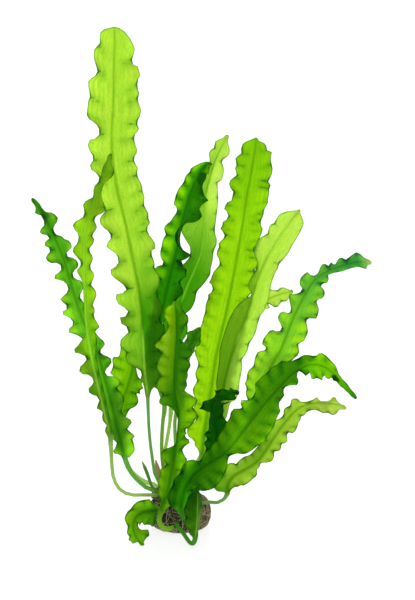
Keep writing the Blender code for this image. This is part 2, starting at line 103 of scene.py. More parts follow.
# Margins. Their traced points are set EDGE_GAIN further out, but at most WIDEST_SHARE of the half width and
# 1 mm from the midrib. They come no nearer to it than LEAST_HALF, or LEAST_RUFFLED_HALF once ruffled.
EDGE_GAIN = 0.25 * MM
WIDEST_SHARE = 1.35
LEAST_HALF = 0.3 * MM
LEAST_RUFFLED_HALF = 0.2 * MM
# Limits for where a blade is seen nearly edge on or end on, and a traced point tells too little.
LEAST_OUT = 0.35
LEAST_LIFT = 0.3
LEAST_SPEED = 0.4
LEAST_ACROSS = 0.5
MOST_SHIFT = 0.8
# Steps of the smooth course from one point of a margin to the next.
COURSE_STEPS = 6
# Hidden margins: points to a wave, how far the two sides are out of step, and how unevenly their scallops
# follow each other.
KNOTS_PER_WAVE = 4
SIDES_APART = 1.3
UNEVENNESS = 0.5
UNEVEN_WAVES = 2.7

# Ruffles. A notch is where the margin dips by LEAST_NOTCH or more. The blade bends there by WAVE_BY_NOTCH of
# the dip, within WAVE_LIMITS of the leaf's usual height, and its lobes between stay within LOBE_LIFT of it.
LEAST_NOTCH = 0.35 * MM
WAVE_BY_NOTCH = 1.1
WAVE_LIMITS = (0.4, 1.4)
WAVE_VARIES = (0.8, 1.2)
LOBE_LIFT = 0.25

# Creases are painted shade: dark lines that run from the notches towards the midrib. Each slants back towards
# the foot by a share of its way in, and is darker at a deep notch. Where two are well over CREASE_SPACING
# waves apart, others lie between.
CREASE_SLANT = (0.1, 0.6)
CREASE_FADE = 0.8
SHALLOW_CREASE = 0.35
DEEP_NOTCH = 1.5 * MM
CREASE_SPACING = 0.8
ADDED_CREASE = (0.4, 0.9)
FULL_NOTCH_SHARE = 0.2
# The farthest that the painted shade of creases is felt, how far a notch's painted shade goes along the
# margin, and the half width below which that is fainter.
FARTHEST_CREASE = 6 * MM
NOTCH_REACH = 2.2 * MM
NARROW_HALF = 6 * MM
# Painted shade between lobes: how much of a wave it takes, and where it sets in between midrib and margin.
LOBE_GAP = 0.2
LOBE_STARTS = (2.5, 0.5)
# How many units of the leaf's own map go to a metre of its run.
MAP_PER_METRE = 10

# Colours that all leaves share. The shades darken what they lie on.
# The palest colour: where the tones paint light, and where a leaf is paler of its own.
PALEST = (0.8, 0.93, 0.35)
STALK_GREEN = (0.52, 0.7, 0.27)
RIB_SHADE = (0.5, 0.66, 0.16)
LIGHT_RIB = (0.62, 0.95, 0.16)
# Painted shade along the creases and the rims.
PAINTED_CREASE_SHADE = (0.27, 0.46, 0.4)
# The deep colour, that paints shade: how much of its red and green the light through a leaf keeps where it is
# painted darkest, and of its blue unless the table of blues says otherwise. How much of its colour the face
# keeps there.
PAINTED_SHADE_LIT = (0.3, 0.6)
PAINTED_SHADE_BLUE_USUAL = 0.12
PAINTED_SHADE_FACE = (0.22, 0.55, 0.3)
# How much of what shows is light through the leaf.
LIGHT_THROUGH = 0.7

# Clouds on the leaf's own map: fineness and detail. The first makes the veins wander, and the last lie on
# a map that is stretched so that they become streaks along the leaf.
DRIFT = (9, 2)
CLOUDS = (4, 3)
PATCHES = (30, 3)
STREAKS = (1, 3)
STREAKS_ACROSS = 16
STREAKS_ALONG = 5
# Long, fine and cross veins: how far they wander, how many there are, how sharp and how dark they are. The
# cross veins slant, and all lie sunk in the relief.
VEINS = ((0.05, 5, 5, 0.2), (0.04, 17, 3, 0.07), (0.06, 46, 5, 0.12))
CROSS_SLANT = -0.05
VEIN_RELIEF = -5
# Rims, painted as a dark line of shade along the margin: their width in mm, patchy and with more at a notch,
# how they fade inwards, and how dark they are away from a notch and more at one.
RIM_BY_PATCH = (1.4, -0.05)
RIM_AT_NOTCH = 0.75
RIM_FADE = (2, 0.5)
RIM_DARK = (0.5, 0.5)
# Creases as they show, in painted shade: a narrow dark line and a wide faint one, by the distance in mm, both
# patchy.
NARROW_CREASE = (-1.6, 1.4)
WIDE_CREASE = (-0.12, 0.3)
CREASE_PATCHES = 0.55
# The midrib: how dark its line is, and how much narrower its light line is where it is pale.
RIB_DARK = 0.85
LIGHT_RIB_SHARP = 3
# Mottling: the least brightness, and what the clouds, the streaks and the patches add to it. Clouds also
# make the tone of a leaf wander.
MOTTLE_LEAST = 0.6
MOTTLE_BY_CLOUDS = 0.2
MOTTLE_BY_STREAKS = 0.3
MOTTLE_BY_PATCHES = 0.3
TONE_BY_CLOUDS = (0.5, -0.25)

# The plug of roots.
PLUG_HALF_WIDTH = 20.4 * MM
PLUG_HALF_DEPTH = 18 * MM
PLUG_HEIGHT = 21 * MM
# The plug's outline, from its foot up: shares of its height and of its half width.
PLUG_PROFILE = ((0, 0.8), (0.1, 0.93), (0.3, 1), (0.55, 1.01), (0.8, 0.96), (0.95, 0.84), (1, 0.7))
# The plug's middle, built in place of the imported plug: its pits and its colour.
BALL_SIDES = 96
BALL_CUTS = 38
BALL_OUT = -0.6 * MM
PITS_PER_METRE = 260
PIT_LAYERS = (1, 2, 3)
PIT_DEPTH = 1.2 * MM
HIGHEST_LUMP = 0.5
# Near black: the packed roots' own dark brown, and painted shade in the gaps between the strands.
PACKED_BROWN_AND_GAP_SHADE = (0.028, 0.022, 0.014)

# Root strands: name, number of them, points in each, seed, how far out they lie, half thickness, colour,
# roughness, and where on the plug they may start, from -1 at its left to 1 at its right.
ROOTS = (
    ("tan_roots", 800, 12, 3, 1.1 * MM, 0.15 * MM, (0.36, 0.29, 0.15), 0.8, (0.3, 1)),
    ("straw_roots", 260, 12, 6, 1.2 * MM, 0.15 * MM, (0.5, 0.45, 0.26), 0.8, (-1, 0.5)),
    ("grey_roots", 70, 16, 5, 1.3 * MM, 0.19 * MM, (0.42, 0.41, 0.28), 0.8, (-1, 1)),
    ("brown_roots", 1100, 12, 4, 0.9 * MM, 0.14 * MM, (0.05, 0.042, 0.016), 0.85, (-1, 1)),
)
# How a strand goes on from point to point, and how much thinner its tip is than its start.
STRAND_STEP = 1.9 * MM
STRAND_TURN = 0.45
LAY_CHANGE = 0.25 * MM
DEEPEST_LAY = -0.2 * MM
STRAND_TAPER = 0.75
LOWEST_START = 0.03
LOWEST_RISE = 0.02
# Strands leave bare spots, where a value that wanders over the plug is below a limit.
BARE_SPOTS_PER_METRE = 150
BARE_BELOW = -0.05

# The grain of matte finishes: fineness in a metre and contrast, and how dark and how light it makes them.
ROOT_GRAIN = (900, 1)
BARK_GRAIN = (400, 4)
GRAIN_SHADES = (0.55, 1.5)
BARK_BROWN = (0.075, 0.07, 0.025)

# The pale floor just below the plant, the white room, and the low sun behind the plant.
FLOOR_SIZE = 12
FLOOR_LEVEL = -0.1 * MM
FLOOR_GLOW = 0.8
FLOOR_GREY = (0.3, 0.3, 0.3, 1)
WHITE = (1, 1, 1, 1)
ROOM_LIGHT = 0.8
BACK_LIGHT = 3.2
BACK_LIGHT_SPREAD = math.radians(12)
BACK_LIGHT_TILT = math.radians(-68)

# A route's rows: across, up, back, half width (all mm), turn in degrees.
# Turn swings the right half towards the viewer.
# Lean: how much further back than its rows say the tip is, in mm. It grows with the square of the run.
# Ruffle: length of one wave and its height in mm, the share of the half width that a notch takes.
# Cup: share of the run, and how far the left and the right half bend forward there, in degrees.
LEAVES = {
    "tall_leaf": {
        "rows": [
            (-12, 24, 5, STALK, 0), (-16.5, 31, 6, STALK, 0), (-18.7, 42, 8, 1.5, 0),
            (-21.3, 62, 10, 1.4, 0), (-22.3, 80, 12, 1.4, 0), (-22.5, 87.5, 12.5, 1.8, 0),
            (-22.8, 93, 13, 5, 0), (-23.5, 99, 13, 9, 0), (-24.5, 106, 13, 11.5, 0),
            (-25.3, 118, 14, 13, 0), (-26.3, 139, 15, 14.5, 2),
            (-28.5, 162, 16, 15.5, 4), (-33, 186, 17, 16.5, 4), (-38, 210, 18, 17, 2),
            (-43, 230, 19, 17, 0), (-46.5, 250, 20, 17, -4), (-48, 272, 20, 17, -4),
            (-46.8, 292, 19, 17, -2), (-46.3, 318, 17, 16, 0), (-45.8, 335, 14, 14.5, 0),
            (-45.8, 343, 12, 11, 0), (-46, 348.8, 11, 0.8, 0),
        ],
        "lean": 30,
        "ruffle": (19, 5, 0.2),
    },
    "outer_left_leaf": {
        "rows": [
            (-13, 22, -1, STALK, 0), (-20.5, 24.8, -2, 1.5, 0), (-25, 27.2, -1, 1.5, 0),
            (-28.7, 30.5, 1, 1.5, 0), (-32.6, 34.5, 2.5, 1.5, 0), (-35.6, 38.8, 3.5, 1.5, 0),
            (-37.8, 44, 4.5, 1.8, 0),
            (-39.6, 50, 5, 5, 0), (-41.8, 59, 7, 9, 0), (-47.6, 84, 9, 10, 5), (-53.2, 105, 10, 10.5, 10),
            (-59, 125, 10, 11.5, 10), (-67, 141, 10, 12, 5), (-74, 161, 9, 12, 0),
            (-80.5, 183, 8, 12, -10), (-86, 197, 7, 10.5, -15), (-92, 210, 6, 8.5, -20),
            (-96, 219, 5, 6, -30), (-100, 224, 5, 3.5, -30), (-103.6, 228.5, 6, 0.8, -30),
        ],
        "lean": 30,
        "ruffle": (11.5, 4.5, 0.32),
    },
    "inner_left_leaf": {
        "rows": [
            (-12, 21, -6, 1.2, 0), (-22, 21.2, -7.5, 1.2, 0), (-34.5, 21.2, -8, 1.2, 0),
            (-42, 24.8, -8, 1.2, 0), (-46.4, 32.5, -9, 1.2, 0), (-47.8, 43, -9, 1.2, 0),
            (-48.3, 54, -9, 1.4, 0), (-49.2, 62, -9, 4, 0), (-50.5, 69, -9, 6.5, 0),
            (-53, 79, -9, 9, 0), (-57, 95.5, -9, 11, 5), (-60.3, 110, -9, 12, 10), (-63, 124.5, -9, 12, 10),
            (-65.2, 138, -9, 12, 15), (-66, 153, -8, 12, 25), (-66.8, 170, -8, 11, 20),
            (-67.2, 188, -8, 11, 10), (-66.4, 205, -8, 10.5, 5), (-63, 218.5, -7, 10, 5),
            (-58, 232, -6, 8.5, 15), (-53.5, 245, -5, 7, 30),
            (-50.5, 254, -4, 4, 40), (-48.3, 259.7, -4, 0.8, 40),
        ],
        "lean": -28,
        "ruffle": (13, 4, 0.28),
    },
    "low_back_leaf": {
        "rows": [
            (-11, 24, 8, STALK, 0), (-17.5, 28, 12, STALK, 0), (-26, 31, 15, STALK, 0),
            (-34, 37.5, 18, STALK, 0), (-38, 46, 22, STALK, 0), (-42, 57, 26, 1.7, 0),
            (-44, 67, 28, 4, 0), (-42.5, 78, 29, 8, 0), (-40, 88, 30, 10, 0),
            (-36.5, 98, 30, 10.5, 0), (-33, 110, 30, 10.5, 0), (-33, 122, 29, 9.5, 0),
            (-35, 129.5, 28, 6, 0), (-36, 133.5, 28, 0.8, 0),
        ],
        "lean": 22,
        "ruffle": (10.5, 3.2, 0.25),
    },
    "curled_leaf": {
        "rows": [
            (-7, 26, 3, 1.3, 0), (-11, 37, 8, 1.3, 0), (-12.6, 48, 13, 1.3, 0),
            (-12.8, 59.5, 17.5, 1.3, 0), (-12, 72.5, 21.5, 1.3, 0), (-10.8, 83, 25, 1.8, 0),
            (-13, 94, 28.5, 4, 0), (-16.3, 104, 31, 7.5, 0), (-17.3, 119, 34, 9.5, 0),
            (-14, 143.5, 38, 11, 0), (-8.4, 168, 40, 12, 0), (-2.8, 190.4, 40, 12.5, 5),
            (1.5, 213, 38, 12.5, 10), (7.5, 233, 35, 12, 10), (13.5, 246, 31, 10, 5),
            (18.5, 252, 27, 6.5, 0), (22, 252.5, 24, 0.8, 0),
        ],
        "lean": 0,
        "ruffle": (14, 5, 0.32),
        "cup": [(0, 0, 0), (0.55, 0, 0), (0.7, 0, 35), (0.85, 10, 50), (1, 0, 30)],
    },
    "pale_back_leaf": {
        "rows": [
            (-4.5, 27, 8, 1.2, 0), (-9, 38, 13, 1.2, 0), (-11, 48, 18, 1.2, 0),
            (-9.2, 59, 23, 1.2, 0), (-7.2, 71, 28, 1.2, 0), (-6.3, 82, 33, 1.8, 0),
            (-7, 93, 37, 3.5, 0), (-7.5, 115, 43, 7, 0), (-3, 140, 49, 9.5, 0),
            (2.8, 161, 52, 11, 0), (9.5, 177, 53, 11.5, 0), (14.5, 190, 54, 11.5, 0),
            (16.8, 207, 54, 11, 0), (17.3, 222, 54, 10.5, 0), (19.2, 236, 53, 10, 0), (24, 253, 52, 8.5, 0),
            (29.5, 265.5, 51, 5.5, 0), (33.5, 273, 51, 0.8, 0),
        ],
        "lean": 12,
        "ruffle": (16, 4, 0.2),
    },
    "small_centre_leaf": {
        "rows": [
            (0, 28, 2, 1.2, 0), (-1, 37, 1, 1.2, 0), (-2.6, 50, -1, 1.2, 0), (-3.4, 62, -2, 1.2, 0),
            (-3.6, 72, -3, 1.2, 0), (-2.2, 82, -3.5, 1.2, 0), (0.5, 92, -4, 1.2, 0), (3, 103, -4, 1.8, 0),
            (4.6, 114, -4, 3, 0), (6.5, 124, -4, 5, 0), (9.5, 130.5, -4.5, 6, 10), (12, 135, -5, 4.5, 20),
            (14, 138, -6, 0.8, 30),
        ],
        "lean": -8,
        "ruffle": (8, 2.2, 0.25),
    },
    "centre_leaf": {
        "rows": [
            (-3, 1.5, -12, STALK, 0), (-4.5, -2, -20, STALK, 0), (-9, -2.8, -22.5, STALK, 0),
            (-12.8, -1.6, -22.8, STALK, 0), (-14.4, 2, -22.8, 1.8, 0), (-14.2, 7, -22.8, 3, 0),
            (-12.6, 13, -22.8, 4.5, 0), (-10.2, 19, -23, 6.5, 0), (-8.4, 25, -23, 8, 0),
            (-7, 32, -22.5, 9.5, 0),
            (-5.2, 42, -21.5, 10.5, 0), (-3.4, 51, -20.5, 10, 0),
            (-2.4, 60, -20, 8, 0), (-1.6, 69, -20, 9.5, 0), (-1.2, 79, -20, 12, 0),
            (-3, 89, -20, 12.5, 5), (-4.2, 99, -20, 12, 10), (-4.2, 109, -20, 11, 10),
            (-3.3, 122, -20, 10.5, 10), (-2.6, 137, -20, 9.5, 10), (-3, 149, -20, 7, 10),
            (-4, 156.5, -20, 0.8, 10),
        ],
        "lean": -24,
        "ruffle": (11, 4, 0.28),
        "cup": [(0, 0, 0), (0.6, 0, 0), (0.68, 10, 50), (0.95, 20, 55), (1, 0, 20)],
    },
    "broad_leaf": {
        "rows": [
            (3, 27, 3, STALK, 0), (8, 33, 7, STALK, 0), (13, 39.5, 9.5, 1.8, 0),
            (14.6, 44, 10.5, 3.5, 0), (15.6, 49.5, 12, 5, 0), (16, 57, 13, 6.5, 0), (17, 66, 14, 10, 0),
            (19, 78, 15, 12, 0), (21.7, 94.5, 15, 13, 0), (24.5, 114, 15, 14, 0),
            (28.7, 133.7, 16, 14.5, 0), (33.6, 155.4, 17, 14.5, 0), (39.2, 184, 17, 15.5, 4),
            (43.4, 208, 15, 15.5, 6), (46.5, 229, 12, 15, 4), (50, 247, 9, 13.5, 0),
            (52, 260, 6, 10.5, 0), (53, 267, 5, 6.5, 0), (53.2, 271, 4, 0.8, 0),
        ],
        "lean": 0,
        "ruffle": (10.2, 3, 0.14),
    },
    "pale_right_leaf": {
        "rows": [
            (4, 27, -1, STALK, 0), (9, 34, -1, STALK, 0), (15, 44, -1, STALK, 0),
            (21, 56, -1, STALK, 0), (26, 66, 0, 1.8, 0), (28.5, 77, 0, 5, 0),
            (30.5, 94, 1, 9, 0), (33.5, 109, 1, 11, 0), (37.5, 122, 2, 11.5, 0), (42, 135, 3, 11.5, 0),
            (46.5, 147, 3, 12, 0), (50.5, 160, 4, 12, 0), (55, 174, 5, 12, 4), (61, 187, 6, 12.5, 8),
            (69, 201, 7, 12.5, 8), (77, 212, 8, 10.5, 4), (81, 217, 9, 7, 0),
            (83.8, 220.5, 11, 0.8, 0),
        ],
        "lean": 0,
        "ruffle": (14, 2, 0.08),
    },
    "small_back_leaf": {
        "rows": [
            (-1, 29, 9, STALK, 0), (6, 36, 15, STALK, 0), (16, 51, 25, STALK, 0),
            (24, 77, 34, STALK, 0), (34, 105, 40, STALK, 0), (43, 131, 43, 1.8, 0),
            (52, 148, 44, 4, 0), (60.2, 157, 44, 6, 0), (70, 161.5, 44, 6, 0),
            (76, 163, 44, 4.5, 0), (79, 163.5, 44, 0.8, 0),
        ],
        "lean": 24,
        "ruffle": (9, 2, 0.15),
    },
    "arching_leaf": {
        "rows": [
            (7.5, 25, -1, STALK, 0), (14.5, 31, -1.5, STALK, 0), (22, 40, -2, STALK, 0),
            (32, 52, -1, STALK, 0), (41, 64, 1, 1.8, 0), (46.2, 73.5, 2, 4.5, 0),
            (52.5, 87.5, 3, 10, 0), (59.5, 103, 3, 12, 0), (65.5, 114.5, 2, 13, 0),
            (70.5, 123, 1, 12.5, 0), (77.5, 141, 0, 12.5, -5), (84, 155, -1, 11, -12),
            (93.5, 171, -3, 9, -25), (103, 177.8, -5, 8, -30), (112, 181.3, -7, 7.5, -30),
            (122, 184, -9, 6.5, -30), (130, 184.3, -10, 4, -30), (134, 183, -10, 0.8, -30),
        ],
        "lean": -30,
        "ruffle": (10, 3.8, 0.24),
    },
    "short_dark_leaf": {
        "rows": [
            (7, 23, -6, STALK, 0), (13, 28, -9, STALK, 0), (18.5, 38, -10, STALK, 0),
            (22.5, 44.5, -10, 4.5, 0), (24, 52, -10, 7.5, 0), (25.5, 63.5, -10, 8.5, 0),
            (23.5, 75, -10, 9, 10), (22.3, 83, -10, 8.5, 20), (26.5, 89, -11, 7.5, 40),
            (34, 91.5, -12, 6, 50), (39, 92.5, -12, 3.5, 50), (41.5, 92.5, -12, 0.8, 50),
        ],
        "lean": -6,
        "ruffle": (8, 2.6, 0.25),
    },
    "drooping_leaf": {
        "rows": [
            (2.2, 7, -12, STALK, 0), (2.4, 4, -22, STALK, 0), (1.8, 6.5, -28, STALK, 0),
            (1, 11.5, -31.5, 4.5, 0), (1.4, 16.5, -32.5, 8.5, 0), (2.6, 22.5, -33, 11, 0),
            (5.5, 29, -32.5, 12, 0),
            (11, 36.3, -31.5, 12.5, 0), (19.5, 42.5, -30, 12.5, 0), (31, 50, -28, 12, 0),
            (40.6, 61, -26, 13, 0),
            (52.5, 76.3, -23, 15.5, 0), (61, 87, -22, 16, 0), (70, 97, -21, 15.5, 0),
            (80, 106.5, -20, 13.5, 0), (90, 112, -20, 11.5, -10), (99.5, 111.5, -21, 9.5, -25),
            (107.5, 106.5, -23, 7, -45), (113, 100.5, -24, 5, -50), (118, 94.5, -26, 3.5, -40),
            (123.5, 88.5, -27, 0.8, -40),
        ],
        "lean": -24,
        "ruffle": (11.5, 4, 0.2),
    },
    "yellow_leaf": {
        "rows": [
            (10, 15, -5, 1.2, 0), (19.6, 16, -12, 1.2, 0), (26.5, 15.8, -13, 1.2, 0),
            (31.2, 18.6, -13, 1.2, 0), (32.8, 21.3, -13, 1.8, 0), (33.4, 23.5, -12.8, 6.5, 0),
            (33.5, 26.5, -12.4, 9, 0), (34.5, 30, -12, 10, 0),
            (38, 34.5, -11, 9.5, 0), (44, 38, -9, 10, 0), (53, 43.4, -7, 10.5, 0),
            (59.5, 51, -6, 10, 0), (65.5, 60.5, -5, 10, 0), (72.5, 70.5, -5, 10.5, 0),
            (81, 80, -5, 10, 5), (90, 84.5, -6, 8.5, 20), (99.5, 85.5, -7, 7.5, 25),
            (108.5, 84.5, -8, 5.5, 20), (113, 83, -9, 3.2, 15), (116, 81.5, -9, 0.8, 15),
        ],
        "lean": 24,
        "ruffle": (9, 3, 0.18),
    },
    "floor_leaf": {
        "rows": [
            (-10, 12, -9, STALK, 0), (-14, 11, -17.5, 2, 0), (-17.5, 10.5, -20, 5.5, 0),
            (-21.5, 10, -22.5, 7.5, 0),
            (-26.5, 9, -25.5, 8.2, 0), (-31, 5.3, -28.5, 7.5, 0), (-32.9, -0.8, -32, 7, 0),
            (-31.6, -6.5, -35, 7.2, 0),
            (-29, -11, -37.3, 5.5, 0), (-25.4, -14.6, -38.8, 0.8, 0),
        ],
        "lean": 0,
        "ruffle": (8, 2.2, 0.2),
    },
    "kinked_leaf": {
        "rows": [
            (-3.2, 6, -11, 1.4, 0), (-2.2, 0, -21.5, 1.4, 0), (2, -5.4, -29, 1.4, 0),
            (5.7, -10.8, -35, 1.4, 0), (8.2, -13.3, -39, 1.4, 0), (10.2, -11, -42, 1.8, 0),
            (11.4, -5, -44, 6, 0), (12, 1.5, -45.5, 9, 0), (12.4, 8, -46, 9.5, 0),
            (12.4, 14, -46, 9.5, 0), (12.6, 19.5, -46, 7, 0), (12.4, 23.5, -45.5, 4, 0),
            (12, 26.5, -45, 0.8, 0),
        ],
        "lean": 0,
        "ruffle": (11, 1.8, 0.15),
        "cup": [(0, 0, 0), (0.45, 0, 0), (0.55, 0, -75), (1, 0, -75)],
    },
    "young_shoot": {
        "rows": [
            (-12, 21, -10, 1.2, 0), (-19, 26, -12, 1.2, 0), (-21.5, 32, -12.5, 1.5, 0),
            (-23.7, 38, -13, 2, 0), (-26.5, 44.5, -13, 0.5, 0),
        ],
        "lean": 0,
        "ruffle": (8, 0.5, 0.1),
    },
    "brown_sheath": {
        "rows": [
            (-10, 26, 1, 1.2, 0), (-14, 33, 0.5, 1.2, 0), (-15.6, 39, 0.5, 1.7, 0),
            (-17, 45.5, 1, 0.5, 0),
        ],
        "lean": 0,
        "ruffle": (8, 0.3, 0.1),
    },
}

